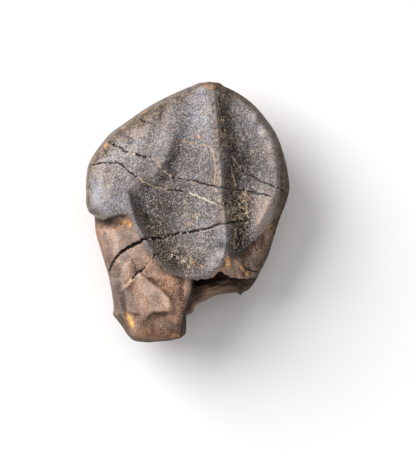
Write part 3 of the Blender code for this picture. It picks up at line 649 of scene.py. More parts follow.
    def read_cracks(self, x: Array, y: Array) -> dict[str, Array]:
        """The nearest crack at each place: how deep it cuts, on which side it lies, its width and fill."""
        depth, fill, width = 0 * x, 0 * x, 0 * x
        nearest, side = 0 * x + 9, 0 * x + 9
        for crack in CRACKS:
            away, signed, along = along_path(x, y, crack.path)
            ends = step(0.0, 0.05, along) * (1 - step(0.93, 1.0, along))
            first, last = crack.half_width
            half = first + (last - first) * along
            groove = np.clip(1 - away / (half + crack.shoulder), 0, 1)
            cut = crack.depth * half / max(first, last) * ends * groove * (1 - crack.fill(x))
            depth = np.maximum(depth, cut)
            closer = away < nearest
            nearest = np.where(closer, away, nearest)
            side = np.where(closer, signed, side)
            fill = np.where(closer, crack.fill(x), fill)
            width = np.where(closer, half * ends * (1 - step(0.7, 1.0, away)), width)
        return {"depth": depth, "side": np.clip(side, -1, 1), "fill": fill, "width": width}

    def grid(self) -> tuple[Array, Array]:
        """Stations and places that spread the sections and their points evenly over the surface.

        The stations follow the mean run of the surface along the tooth, and the places the length
        round each section, of which the front gets front_share.

        Returns:
            Two arrays of one row for each ring.
        """
        top = self.outline.top - self.end_gap
        y = np.linspace(-top, top, self.trial_stations)[:, None]
        s = np.linspace(0, 2, self.trial_places)[None, :]
        points, _ = self.surface(y + 0 * s, s + 0 * y)
        runs = np.linalg.norm(np.diff(points, axis=0), axis=2)
        reach = np.concatenate([[0], np.cumsum((runs**2).mean(axis=1) ** 0.5)])
        stations = np.interp(np.linspace(0, reach[-1], self.rings), reach, y[:, 0])[:, None]
        points, _ = self.surface(stations + 0 * s, s + 0 * stations)
        steps = np.linalg.norm(np.diff(points, axis=1), axis=2)
        front = s[0, 1:] <= 1
        for half, part in ((front, self.front_share), (~front, 1 - self.front_share)):
            steps[:, half] *= part / steps[:, half].sum(axis=1, keepdims=True)
        for _ in range(self.evening_rounds):
            padded = np.pad(steps, ((1, 1), (0, 0)), mode="edge")
            steps = (padded[:-2] + 2 * steps + padded[2:]) / 4
        reach = np.concatenate([np.zeros((self.rings, 1)), np.cumsum(steps, axis=1)], axis=1)
        shares = np.linspace(0, 1, self.around, endpoint=False)
        places = np.array([np.interp(shares, row / row[-1], s[0]) for row in reach])
        return stations + 0 * places, places

    def proud(self, z: Array) -> Array:
        """How far each point stands above the mean of its surroundings."""
        mean = z.copy()
        for _ in range(self.relief_rounds):
            wide = np.pad(mean, ((2, 2), (0, 0)), mode="edge")
            mean = (wide[:-4] + wide[4:] + np.roll(mean, 2, axis=1) + np.roll(mean, -2, axis=1)) / 4
        return z - mean

    def read_marks(self, points: Array, facts: dict[str, Array]) -> None:
        """Works out the marks from the facts: signed distances in millimetres, and shares from 0 to 1."""
        x, y, front = facts["wx"], facts["wy"], facts["front"]
        wall_line = tuple((wx, wy) for wy, wx in self.crown.basin_wall if wy < 2.5)
        ridge_line = tuple((rx, ry) for ry, rx in self.crown.ridge)
        _, wall, _ = along_path(x, y, wall_line)
        _, ridge, _ = along_path(x, y, ridge_line)
        rim = np.minimum(facts["from_left"], facts["from_right"])
        lost = (1 - facts["standing"]) * front
        upper = step(5.0, 9.0, y)
        # The dark rim band is wider on the right, where it is painted shade, and at the upper left, where it
        # is the rim's own colour.
        margin = 0.8 + 0.3 * step(3.0, 8.0, x) * (1 - 0.8 * upper) + 0.8 * (1 - step(-2.0, 2.0, x)) * upper
        # Painted shade along the rim: faint all round, and strong on the right side and at the root's end,
        # which face away from the light.
        end = np.minimum(np.abs(rim), y + self.outline.top)
        reach = np.where(front > 0, 0.7 * margin, 0.6)
        edge = np.exp(-end / reach) * (0.2 + 0.8 * np.maximum(step(3.0, 8.0, x), step(-12.5, -15.5, y)))
        # Painted shade on the main ridge's steep right flank, which faces away from the light.
        past_flank = ridge / smooth(self.crown.ridge_flank, y)
        flank = step(-0.1, 0.25, ridge) * (1 - step(0.5, 1.25, past_flank)) * step(-8.0, -5.0, y)
        past_wall = (x - smooth(self.crown.basin_wall, y)) / smooth(self.crown.basin_wall_width, y)
        shade = step(-0.15, 0.1, past_wall) * np.exp(-np.maximum(past_wall, 0))
        self.marks = {
            "front": front,
            "enamel": facts["enamel"] + self.enamel_tongue.at(x, y),
            "rim": np.where(front > 0, rim, -rim),
            "wall": np.clip(wall, -3, 3),
            "flank": flank * front,
            "wall_shade": shade * step(4.0, 7.0, y) * (1 - step(9.0, 11.5, y)) * front,
            "crest": np.exp(-(((ridge + 0.3) / 0.4) ** 2)) * step(-2.0, 1.0, y) * front,
            "lost": lost,
            "past_base": np.clip(facts["past_base"], -4, 9),
            "flake": np.clip(self.root.on_flake(x, y, self.root.flake), -3, 3),
            # Painted shade and light: points below their surroundings are painted darker and points above
            # them paler.
            "relief_shade": np.clip(self.proud(points[..., 2]), -0.4, 0.2) * front,
            "crack_side": facts["crack_side"],
            "crack_width": facts["crack_width"] * front,
            "crack_fill": facts["crack_fill"],
            "right_side": step(4.0, 7.0, x) * (0.2 + 0.8 * front),
            "edge": edge,
            "margin": np.clip(rim / margin, 0, 3),
            "beside": np.clip(facts["past_side"], 0, 3),
        }
        for name, (rows, low, high) in TABLES.items():
            self.marks[name] = np.clip(total(rows, x, y), low, high) * front

    def faces(self) -> list[list[int]]:
        """The rings joined by quads, and a fan of triangles over each end."""
        ring, place = np.meshgrid(np.arange(self.rings - 1), np.arange(self.around), indexing="ij")
        here, beside = ring * self.around + place, ring * self.around + (place + 1) % self.around
        quads = np.stack([here, here + self.around, beside + self.around, beside], axis=-1).reshape(-1, 4)
        first = self.rings * self.around
        near = np.arange(self.around)
        far = near + first - self.around
        low = np.stack([np.full(self.around, first), near, np.roll(near, -1)], axis=-1)
        high = np.stack([np.full(self.around, first + 1), np.roll(far, -1), far], axis=-1)
        return quads.tolist() + low.tolist() + high.tolist()

    def build(self) -> bpy.types.Object:
        """Makes the tooth's object, with its marks as attributes."""
        points, facts = self.surface(*self.grid())
        self.read_marks(points, facts)
        points[..., 2] = np.maximum(points[..., 2], 0.0)
        ends = np.stack([points[0].mean(axis=0), points[-1].mean(axis=0)])
        ends[:, 1] = -self.outline.top, self.outline.top
        mesh = bpy.data.meshes.new("fossil_tooth")
        corners = np.concatenate([points.reshape(-1, 3), ends]) * MM
        mesh.from_pydata(corners.tolist(), [], self.faces())
        for name, values in self.marks.items():
            stored = mesh.attributes.new(name, "FLOAT", "POINT")
            stored.data.foreach_set("value", np.append(values.ravel(), [values[0].mean(), values[-1].mean()]))
        mesh.shade_smooth()
        tooth = bpy.data.objects.new("fossil_tooth", mesh)
        bpy.context.scene.collection.objects.link(tooth)
        LOG.info("tooth: %d points, %d faces", len(mesh.vertices), len(mesh.polygons))
        return tooth


# Ochre stains, and how strong each is.
STAINS = swells(
    (3.4, 16.4, 0.4, 1.1, 10, 0.42), (-7.9, -1.8, 0.28, 0.3, 0, 0.9), (-8.5, -1.3, 0.5, 0.3, 0, 0.5),
    (5.5, -6.9, 0.42, 1.1, 4, 1.2), (7.2, -7.5, 0.18, 1.3, 38, 1.35), (8.2, -8.4, 0.3, 0.4, 20, 0.8),
    (0.8, -6.9, 0.35, 0.25, 0, 0.7), (1.9, -7.3, 0.3, 0.3, 0, 0.8), (-3.2, -6.5, 0.35, 0.3, 0, 0.6),
    (-11.8, -1.5, 0.5, 0.3, -30, 0.5), (-11.3, 9.1, 0.3, 0.5, -30, 0.9), (0.5, 4.2, 0.45, 0.22, -10, 1.1),
    (-5.8, 2.6, 0.4, 0.25, 0, 0.6), (-3, 2.8, 0.25, 0.3, 0, 0.6), (-7.8, -14.9, 0.4, 1.15, 20, 1.75),
    (-5.8, 13.7, 1.3, 0.35, 28, 0.5), (-9.2, 11.2, 1, 0.4, 36, 0.4), (2.6, 17.3, 1.3, 0.4, 0, 0.6),
    (1.6, 10.3, 0.25, 0.5, 40, 0.8), (-0.4, 9.7, 0.3, 0.2, -30, 0.8), (6.5, 3.3, 0.25, 0.5, 0, 0.7),
    (4.1, 2.8, 0.2, 0.4, 10, 0.7), (-4.8, -3, 0.3, 0.3, 0, 0.5), (-10, 8.2, 0.4, 0.2, -30, 0.5),
    (-1.6, -16.9, 0.9, 0.4, 10, 0.7), (-6.3, -16.9, 0.8, 0.4, 0, 0.6), (-4, -17.2, 1.6, 0.25, 0, 0.45),
    (9.6, -1, 0.3, 0.25, 30, 0.7), (11.2, -2, 0.7, 0.2, 30, 0.8), (9.3, -6.8, 0.15, 0.7, -8, 0.6),
    (-8.3, -1.6, 1, 0.5, 0, 0.45),
)  # fmt: skip

# Where tan threads, dots and pale grains of mineral gather.
DEPOSITS = swells(
    (4.2, 13, 0.45, 3.2, 8, 0.6), (7.2, 0.4, 1.6, 2.6, 0, 1), (0.4, -6.4, 3.2, 1.5, 0, 0.75),
    (-2.6, -6, 1.2, 1, 0, 0.6), (-3, 3.6, 2.6, 1, -20, 0.55), (4.8, 10, 0.6, 5, -4, 0.6),
    (9, 5, 2.5, 4, 0, 0.4), (-7, 10, 4, 3, 30, 0.45), (6.8, -6.8, 1.8, 1.2, 20, 0.9),
    (7.6, 10.2, 0.9, 0.9, 0, 0.8), (0, 0, 4, 3, 0, 0.35),
)  # fmt: skip

# Dirt and painted shade, which darken and brown what they lie on: real dirt, and shade painted into hollows,
# under the lip, on the ridge's flank and on faces turned from the light.
DIRT_AND_SHADE = swells(
    (-9, -0.5, 1.1, 0.4, 0, 1), (4.55, 14.4, 0.4, 3.2, 10.7, 0.75), (4.9, 12.5, 0.75, 4.5, -5, 1),
    (5.9, 5, 0.95, 5, -4, 1.1), (7.3, 0.4, 0.7, 1.6, 0, 0.8), (6.2, 9.4, 0.7, 2.4, -5, 0.3),
    (7.2, -2.5, 1.4, 4, 0, 1.2), (7.8, 7.4, 1, 1.8, 0, 0.4), (7.7, -5, 1, 1.4, 0, 0.55),
    (-6.5, -0.4, 0.9, 3.4, 28, 0.8), (-4, -3, 2.2, 3.4, 30, 0.45), (-3.2, -6.4, 1.2, 2.2, 40, 0.5),
    (0, -7, 3.4, 1.5, 0, 0.7), (-2.7, 3.2, 1.5, 4.2, -8, 0.4), (-3.6, -1.8, 1.4, 1.8, 0, 0.3),
    (-2, -5.4, 1.4, 1.2, 0, 0.65), (1, -8.4, 0.8, 0.5, 0, 0.5), (7.2, 0.2, 0.7, 1.4, 0, 0.5),
    (-1.4, -10.9, 0.6, 1.2, 0, 0.3), (-4, 1.2, 0.8, 0.8, 0, 0.2), (-8, -11.4, 0.6, 1.4, 10, 0.5),
    (-7.3, -8.2, 0.25, 0.9, 15, 0.5), (4, 17, 1.2, 0.6, -20, 0.4), (3, 5.4, 0.8, 3, 0, 0.15),
    (7.2, 2.2, 0.6, 0.8, 0, 0.3), (-2, 4.8, 0.7, 1, 0, 0.3), (-4, -2, 0.8, 0.8, 0, 0.25),
    (-0.6, -6.9, 0.8, 0.8, 0, 0.3), (12.4, 1.2, 0.7, 1, 0, 0.6), (6.6, -5.3, 0.8, 0.8, 0, 0.3),
    (-4.1, 10.8, 0.8, 3, -14, 0.25), (9.2, 8.6, 1, 2.4, 0, 0.45), (-10.4, -6.2, 0.8, 1.6, 0, 0.4),
    (-9.2, -13.2, 0.5, 0.8, 0, 0.4), (5.6, 16.6, 1.6, 0.8, -30, 0.7), (-1.8, -16.6, 1.2, 0.8, 0, 0.5),
    (0.5, -8.5, 2.4, 0.5, 0, 0.35), (-3.4, 4.6, 0.6, 1.6, -8, 0.4), (-3.4, 13.8, 0.5, 1.6, -10, 0.6),
    (-0.6, 14.4, 0.5, 1.9, -4, 0.15), (-6.3, 12.9, 1.2, 0.5, 30, 0.6), (-5.2, -15.9, 3, 1.4, 0, 0.25),
    (-10.8, -1.1, 2.4, 0.8, -4, 1.2), (-8.7, -12.2, 0.45, 2, 8, 0.9), (-3.8, -14, 1.8, 0.3, 4, 0.5),
    (10.3, -5, 1.4, 4, -20, 0.35), (11, -5.4, 0.45, 2.6, -20, 0.5), (7.6, -5.6, 0.8, 0.9, -40, 0.4),
    (13.2, 3, 0.7, 6, 4, 0.8), (12.9, 4.6, 0.22, 4.4, 2, 0.7), (-1.5, -1.5, 4.5, 4, 0, 0.25),
    (9.6, 6.2, 2.2, 2.8, 0, 0.55), (-6, 4.4, 1, 1, 0, 0.9), (-9.7, -9.5, 1.5, 3, 10, 0.3),
    (-8.9, -14.6, 0.9, 2.2, 20, 0.4), (-3, -17, 4, 1, 0, 0.6), (-1.2, -15.6, 1.2, 1.4, 0, 0.8),
    (-4.4, -14.2, 1.6, 0.35, 0, 0.3), (-0.7, -12, 0.6, 2.6, 8, 1.2), (4.8, -4.6, 0.6, 0.8, 0, 0.8),
    (6.8, -7.6, 1.8, 1, 0, 0.35), (4.4, -6.7, 0.8, 0.6, 0, 0.6), (6.4, -5.2, 0.8, 1.2, 0, 0.3),
)  # fmt: skip

# Scuffs and painted light, which are paler: scuffed places, and light and highlights painted on slopes that
# face the lamp.
SCUFFS_AND_LIGHT = swells(
    (1.6, 14.4, 2.2, 2.8, -6, 1), (2.6, 9.5, 1.3, 4, -8, 0.5), (-5.6, 10.6, 3.4, 2.2, 24, 0.8),
    (-12.6, 1.6, 0.8, 1.7, 0, 0.45), (-12, 4.8, 0.7, 1, -10, 0.5), (-9.2, 10.2, 1.2, 1, 30, 0.4),
    (-10.2, 7.4, 2.4, 1, -10, 0.3), (8.9, 13.2, 0.9, 1.2, -30, 0.9), (10.6, 10.9, 1.1, 1.3, -30, 1.2),
    (6.3, 15.6, 0.8, 0.5, -30, 0.5), (10.4, 8.6, 1, 1.2, 0, 0.3), (7.2, 11.6, 1, 2.4, 0, 0.3),
    (10.2, -1.8, 0.9, 0.9, 0, 0.5), (11.2, 9, 0.6, 0.4, 0, 0.5), (10.8, 0.8, 1.4, 2.4, 10, 0.35),
    (4.5, -5.7, 0.5, 0.6, 0, 0.6), (3.4, -7.3, 0.8, 0.4, 28, 0.6), (-11, 3.6, 2.6, 3.2, 0, 0.75),
    (-8.6, 2, 1.6, 3, 0, 0.6), (-9.6, -0.6, 2, 1.2, 0, 0.5), (-6.6, 2.6, 0.8, 1.4, 20, 0.7),
    (1.4, -1.8, 2.2, 2.6, 0, 0.5), (-3.2, -8.5, 1.8, 1, 0, 1.2), (-7, -8.4, 0.7, 0.7, 0, 0.8),
    (-6.2, -16.2, 0.8, 0.6, 0, 0.5), (6.4, -7.6, 2.2, 1.2, 0, 0.15), (10, -4.8, 0.9, 2.4, -20, 1),
    (1.2, -2.4, 0.8, 0.9, 0, 0.4), (4, -2, 0.7, 1, 0, 0.4), (-7.4, -3.9, 0.9, 1.2, 0, 0.9),
    (-9, -1.9, 0.6, 0.6, 0, 0.4), (-8.4, -5.3, 1.2, 0.7, 0, 0.9), (-2, 9.2, 0.6, 2, -12, 0.35),
    (6.3, 1.2, 0.4, 0.8, 0, 0.5), (4.8, -3, 1.2, 0.7, 0, 0.4), (7.4, 9.2, 0.5, 0.8, 0, 0.3),
    (-6.8, -9.6, 1.2, 0.35, -38, 0.7), (-8.4, -8.3, 0.6, 1, -12, 0.4), (9.2, -8.2, 0.7, 0.6, 0, 0.5),
    (-7, -8.4, 0.5, 0.5, 0, 0.5), (5.8, 1.4, 0.4, 1.2, 0, 0.6), (1, 17, 0.8, 0.5, 0, 0.4),
    (2.2, 0, 1.6, 5, -6, 0.45), (1.6, 12, 1.4, 4, -6, 0.35), (-8.4, 8, 2, 2, 0, 0.4),
    (-5.5, -5.4, 1, 1.8, 35, 0.4), (-6, -6.6, 1.2, 1, 0, 0.4), (-2.2, -12.6, 0.8, 2, 0, 0.4),
    (-4.4, -15, 2.6, 0.7, 0, 0.35), (-2.6, 10.6, 0.5, 3, -12, 0.5), (-2.5, -12.7, 0.45, 0.9, 10, 1),
    (-5.4, -11.4, 2.2, 1.8, -30, 1), (-9, -5.3, 1.4, 1.4, 0, 0.8), (-9.6, 1, 1, 1.6, 0, 0.5),
    (-7.4, -5.6, 1.2, 1.2, 20, 0.45), (10.1, -4.3, 0.3, 2.4, -24, 0.9),
)  # fmt: skip

# Warmer browns, or greyer and bluer ones where the height is negative.
WARMTH = swells(
    (10.6, 0.6, 2.4, 3.4, 10, 1.1), (6.5, -0.5, 1.6, 2.4, 0, 0.6), (-13, 7, 1, 2.4, 0, 0.7),
    (-6, 12, 5, 2, 30, 0.6), (3.6, 9, 0.8, 9, -3, 0.55), (-1.5, -4.5, 3.5, 4, 0, 0.3),
    (-12.8, 1.6, 0.9, 2, 0, -0.8), (4.6, -5, 1, 2, 0, -0.6), (0.6, 13.5, 1.2, 3, 0, -0.3),
    (-10.6, 4.9, 0.35, 1.9, -12, 1), (-10, -9.5, 0.9, 4.5, 12, -0.9), (-9, -12, 0.6, 2.2, 10, -0.7),
    (-2.5, -17, 2.5, 0.9, 0, 0.9), (-6.5, -17, 1.4, 0.9, 0, 0.8), (-2, -10, 1.3, 3, -20, 0.6),
    (-8.3, -2, 1.2, 0.8, 0, 0.4), (-8.6, -4.5, 2.2, 2.6, 0, -0.7), (7.4, -7.4, 2.2, 1.2, 0, -0.3),
    (-8, -11.6, 0.8, 1.6, 8, -0.9), (5.6, 7, 1.2, 6, 0, 0.4), (-11.9, -5.5, 0.7, 5, 13, 0.9),
)  # fmt: skip

# Each mark that a table makes, and the least and the greatest value that it may have.
TABLES = {
    "stain": (STAINS, 0, 1.6),
    "deposit": (DEPOSITS, 0, 1),
    "dirt_and_shade": (DIRT_AND_SHADE, 0, 1.4),
    "scuffs_and_light": (SCUFFS_AND_LIGHT, 0, 1),
    "warm": (WARMTH, -1, 1),
}


# ---------------------------------------------------------------------------------- shader graphs


class Value:
    """A number that varies over a surface. Arithmetic on it adds Math nodes to its graph."""

    def __init__(self, graph: "Graph", socket: bpy.types.NodeSocket) -> None:
        """Wraps one output socket of a graph."""
        self.graph = graph
        self.socket = socket

    def math(self, operation: str, *others: "Value | float") -> "Value":
        """The result of a Math node on this value and the others."""
        inputs = dict(enumerate((self, *others)))
        node = self.graph.node("ShaderNodeMath", {"operation": operation}, inputs)
        return Value(self.graph, node.outputs[0])

    def __add__(self, other: "Value | float") -> "Value":
        """self + other."""
        return self.math("ADD", other)

    def __mul__(self, other: "Value | float") -> "Value":
        """self * other."""
        return self.math("MULTIPLY", other)

    def __sub__(self, other: "Value | float") -> "Value":
        """self - other."""
        return self.math("SUBTRACT", other)

    def __rsub__(self, other: float) -> "Value":
        """other - self."""
        return self.math("MULTIPLY", -1.0) + other

    def __truediv__(self, other: "Value | float") -> "Value":
        """self / other."""
        return self.math("DIVIDE", other)

    def __abs__(self) -> "Value":
        """The size of self without its sign."""
        return self.math("ABSOLUTE")

    __radd__ = __add__
    __rmul__ = __mul__

    def most(self, other: "Value | float") -> "Value":
        """The larger of the two."""
        return self.math("MAXIMUM", other)

    def ramp(self, low: "Value | float", high: "Value | float") -> "Value":
        """0 below low, 1 above high, and an S-curve between them. Low may be the larger."""
        settings = {"interpolation_type": "SMOOTHSTEP"}
        inputs = {"Value": self, "From Min": low, "From Max": high}
        return Value(self.graph, self.graph.node("ShaderNodeMapRange", settings, inputs).outputs["Result"])


Tint = tuple[float, float, float]
EVEN: Tint = (1.0, 1.0, 1.0)


class Colour:
    """A colour that varies over a surface. It mixes through Mix nodes and is scaled by Vector Math."""

    def __init__(self, graph: "Graph", socket: bpy.types.NodeSocket | Tint) -> None:
        """Wraps an output socket, or starts from one plain tint."""
        self.graph = graph
        self.socket = socket

    def mix(self, other: "Colour | Tint", share: Value) -> "Colour":
        """This colour with a share of the other laid over it."""
        inputs = {"Factor": share, 6: self, 7: other}
        node = self.graph.node("ShaderNodeMix", {"data_type": "RGBA", "clamp_factor": True}, inputs)
        return Colour(self.graph, node.outputs[2])

    def lit(self, amount: Value | float) -> "Colour":
        """This colour made lighter or darker by a factor."""
        node = self.graph.node("ShaderNodeVectorMath", {"operation": "SCALE"}, {0: self, "Scale": amount})
        return Colour(self.graph, node.outputs[0])


class Graph:
    """One material's nodes, and the few kinds of pattern that the finishes draw with."""

    def __init__(self, material: bpy.types.Material) -> None:
        """Empties the material's nodes and reads the object's own coordinates in millimetres."""
        self.tree = material.node_tree
        self.tree.nodes.clear()
        inputs = {0: self.node("ShaderNodeTexCoord", {}, {}).outputs["Object"], "Scale": 1 / MM}
        self.place = self.node("ShaderNodeVectorMath", {"operation": "SCALE"}, inputs).outputs[0]

    def node(self, kind: str, settings: dict, inputs: dict) -> bpy.types.Node:
        """Adds a node.

        Args:
            kind: The node's type.
            settings: Its properties, set before its sockets.
            inputs: Numbers, colours, Values, Colours or sockets, by socket name or number.

        Returns:
            The new node.
        """
        node = self.tree.nodes.new(kind)
        for name, setting in settings.items():
            setattr(node, name, setting)
        for name, given in inputs.items():
            given = given.socket if isinstance(given, (Value, Colour)) else given
            if isinstance(given, bpy.types.NodeSocket):
                self.tree.links.new(given, node.inputs[name])
            elif isinstance(given, tuple) and len(node.inputs[name].default_value) == 4:
                node.inputs[name].default_value = (*given, 1.0)
            else:
                node.inputs[name].default_value = given
        return node

    def mark(self, name: str) -> Value:
        """One of the tooth's own marks."""
        return Value(self, self.node("ShaderNodeAttribute", {"attribute_name": name}, {}).outputs["Fac"])

    def marks(self, *names: str) -> tuple[Value, ...]:
        """Several of the tooth's own marks."""
        return tuple(self.mark(name) for name in names)

    def spread(self, size: float, stretch: Tint, turn: float, seed: float) -> bpy.types.NodeSocket:
        """The place in units of size, turned about the vertical, divided by stretch and shifted by seed."""
        inputs = {"Vector": self.place, "Angle": np.radians(turn)}
        turned = self.node("ShaderNodeVectorRotate", {"rotation_type": "Z_AXIS"}, inputs)
        scale = tuple(1 / (size * s) for s in stretch)
        inputs = {"Vector": turned.outputs[0], "Scale": scale, "Location": (seed, 0, 0)}
        return self.node("ShaderNodeMapping", {"vector_type": "POINT"}, inputs).outputs[0]

    def noise(
        self, size: float, detail: float = 2.0, stretch: Tint = EVEN, turn: float = 0.0, seed: float = 0.0
    ) -> Value:
        """Cloudy noise from -0.5 to 0.5, of features about size millimetres across, drawn out by stretch."""
        place = self.spread(size, stretch, turn, seed)
        inputs = {"Vector": place, "Scale": 1.0, "Detail": detail, "Roughness": 0.55}
        return Value(self, self.node("ShaderNodeTexNoise", {}, inputs).outputs[0]) - 0.5

    def grains(self, size: float, seed: float = 0.0) -> Value:
        """The distance to the nearest of scattered points: 0 at each, and about 0.5 between them."""
        inputs = {"Vector": self.spread(size, EVEN, 0.0, seed), "Scale": 1.0}
        return Value(self, self.node("ShaderNodeTexVoronoi", {"feature": "F1"}, inputs).outputs["Distance"])


# ---------------------------------------------------------------------------------- finishes


@dataclass
class Coat:
    """What a finish lays on the surface: a colour, a roughness and a height in millimetres."""

    colour: Colour
    roughness: Value
    height: Value

    def under(self, other: "Coat", share: Value) -> "Coat":
        """This coat with a share of the other laid over it."""
        keep = 1.0 - share
        return Coat(
            self.colour.mix(other.colour, share),
            self.roughness * keep + other.roughness * share,
            self.height * keep + other.height * share,
        )


@dataclass(frozen=True)
class Enamel:
    """Dark grey satin enamel: speckled, mottled, paler where it is scuffed and where light is painted on, and
    darker where dirt stays and where shade is painted on.
    """

    dark: Tint = (0.034, 0.029, 0.028)
    middle: Tint = (0.14, 0.121, 0.117)
    pale: Tint = (0.48, 0.415, 0.405)
    pink: Tint = (0.42, 0.29, 0.235)
    blue: Tint = (0.3, 0.32, 0.38)
    tan: Tint = (0.52, 0.36, 0.22)
    cream: Tint = (0.62, 0.52, 0.38)
    margin: Tint = (0.2, 0.142, 0.1)
    soil: Tint = (0.058, 0.046, 0.037)
    umber: Tint = (0.1, 0.066, 0.05)
    spark: Tint = (0.5, 0.44, 0.41)

    def lay(self, g: Graph) -> Coat:
        """Speckle, blotches, the relief's painted shade, scuffs with painted light, and dirt with painted
        shade pick the grey, and the tan films go over it.
        """
        dash, speck = g.noise(0.11, 1.0, (1.0, 3.2, 1.0), 42.0, seed=9), g.noise(0.14, 1.0, seed=11)
        grit, blotch, cloud = g.noise(0.36, 1.0, seed=12), g.noise(1.3, 2, seed=4), g.noise(4.5, 2)
        relief_shade, dirt_and_shade, scuffs_and_light, warm = g.marks("relief_shade", "dirt_and_shade", "scuffs_and_light", "warm")
        speckle = (dash * 3.2 + speck * 2.0 + grit * 0.35).most(-0.07)
        tone = 0.41 + speckle * (0.9 + scuffs_and_light * 0.6 - dirt_and_shade * 0.35) + blotch * (0.5 + scuffs_and_light * 0.7)
        tone = tone + cloud * 0.35 + relief_shade * 1.6
        flank, crest, wall_shade = g.marks("flank", "crest", "wall_shade")
        # Painted shade: the ridge's flank and the basin wall's foot are darker, and dirt darkens with it;
        # painted light makes the scuffed and lit places paler.
        tone = tone * 1.07 - 0.06 + scuffs_and_light * 0.27 - dirt_and_shade * 0.48 - flank * 0.2 - wall_shade * 0.34
        grey = Colour(g, self.dark).mix(self.middle, tone.ramp(-0.05, 0.5))
        grey = grey.mix(self.pale, tone.ramp(0.42, 1.35))
        hue = warm * 0.55 + wall_shade * 0.4 - 0.12 + g.noise(0.3, 1.0, seed=14) * 1.4
        hue = hue + g.noise(2.2, 2, seed=15) * 1.6
        grey = grey.mix(Colour(g, self.pink).lit(0.2 + tone * 0.8), hue.ramp(0.0, 0.6) * 0.9)
        grey = grey.mix(Colour(g, self.blue).lit(0.1 + tone * 0.95), (hue * -1.0).ramp(0.05, 0.65) * 0.7)
        # Umber browns the dirt and the painted shade.
        grey = grey.mix(Colour(g, self.umber).lit(0.5 + tone), dirt_and_shade * 0.35)
        sparks = g.noise(0.15, 1.0, seed=21) * 0.6 + g.noise(0.5, 1.0, seed=22) * 0.4 + dash * 1.1
        sparks = sparks.ramp(0.08, 0.26)
        salt = g.grains(0.21, 6).ramp(0.42, 0.2) * g.noise(0.5, 1.0, seed=24).ramp(0.0, 0.12)
        spark = Colour(g, self.spark).mix(self.tan, (dirt_and_shade + crest).ramp(0.3, 1.0) * 0.6)
        grey = grey.mix(spark, (sparks * 0.55).most(salt))
        tan = Colour(g, self.tan).mix(self.cream, g.noise(0.5, 1, seed=31).ramp(-0.05, 0.1))
        colour = grey.mix(tan, self.film(g))
        # The mottled dark rim band is the rim's own colour; its extra width and lack of tan on the right side
        # are painted shade.
        margin, side = g.mark("margin") + blotch * 1.6 + grit, g.mark("right_side")
        lines = (g.mark("margin") * 9.0 + g.noise(1.2, 2, seed=38) * 14.0).math("SINE")
        mottle = g.noise(0.3, 2, seed=34) + g.noise(1.1, 1, seed=36) * 0.8 + lines * 0.1
        edge = Colour(g, self.soil).mix(self.margin, (mottle + dash * 1.2).ramp(-0.16, 0.12))
        edge = edge.mix(self.tan, (mottle + speck * 1.2).ramp(0.1, 0.26) * (0.8 - side * 0.4))
        inner = g.mark("margin").ramp(0.05, 0.5) * 0.5 + 0.35
        colour = colour.mix(edge, margin.ramp(1.25, 0.55) * inner)
        pits = g.noise(0.4, 2, seed=37) + speck * 0.5
        colour = colour.mix(self.soil, crest * pits.ramp(0.0, 0.14) * 0.75)
        colour = colour.mix(self.tan, crest * pits.ramp(-0.08, -0.2) * 0.5)
        glints = g.grains(0.32, 8).ramp(0.32, 0.1) * g.noise(0.6, 1, seed=33).ramp(-0.06, 0.08)
        colour = colour.mix(self.cream, glints * (0.2 + g.mark("deposit") * 0.6))
        roughness = 0.4 + grit * 0.5 + dirt_and_shade * 0.25 - scuffs_and_light * 0.06
        height = (dash + speck) * 0.045 + grit * 0.06 + blotch * 0.06
        return Coat(colour, roughness, height)

    def film(self, g: Graph) -> Value:
        """How much tan mineral covers the enamel: short curly threads at two sizes, and scattered dots."""
        deposit = g.mark("deposit")
        threads = abs(g.noise(0.9, 1.0, seed=17)).ramp(0.026, 0.008)
        fine = abs(g.noise(0.55, 1.0, seed=19)).ramp(0.028, 0.008)
        patch = g.noise(1.3, 2, seed=23) + deposit * 0.34
        threads = threads * patch.ramp(0.12, 0.26)
        curls = threads.most(fine * (patch + g.noise(0.6, 1, seed=25) * 0.6).ramp(0.2, 0.32))
        dots = g.grains(0.62, 5).ramp(0.2, 0.08)
        dots = dots * (g.noise(1.0, 1, seed=29) + deposit * 0.14).ramp(0.12, 0.25)
        return (curls * 0.85).most(dots * 0.9)


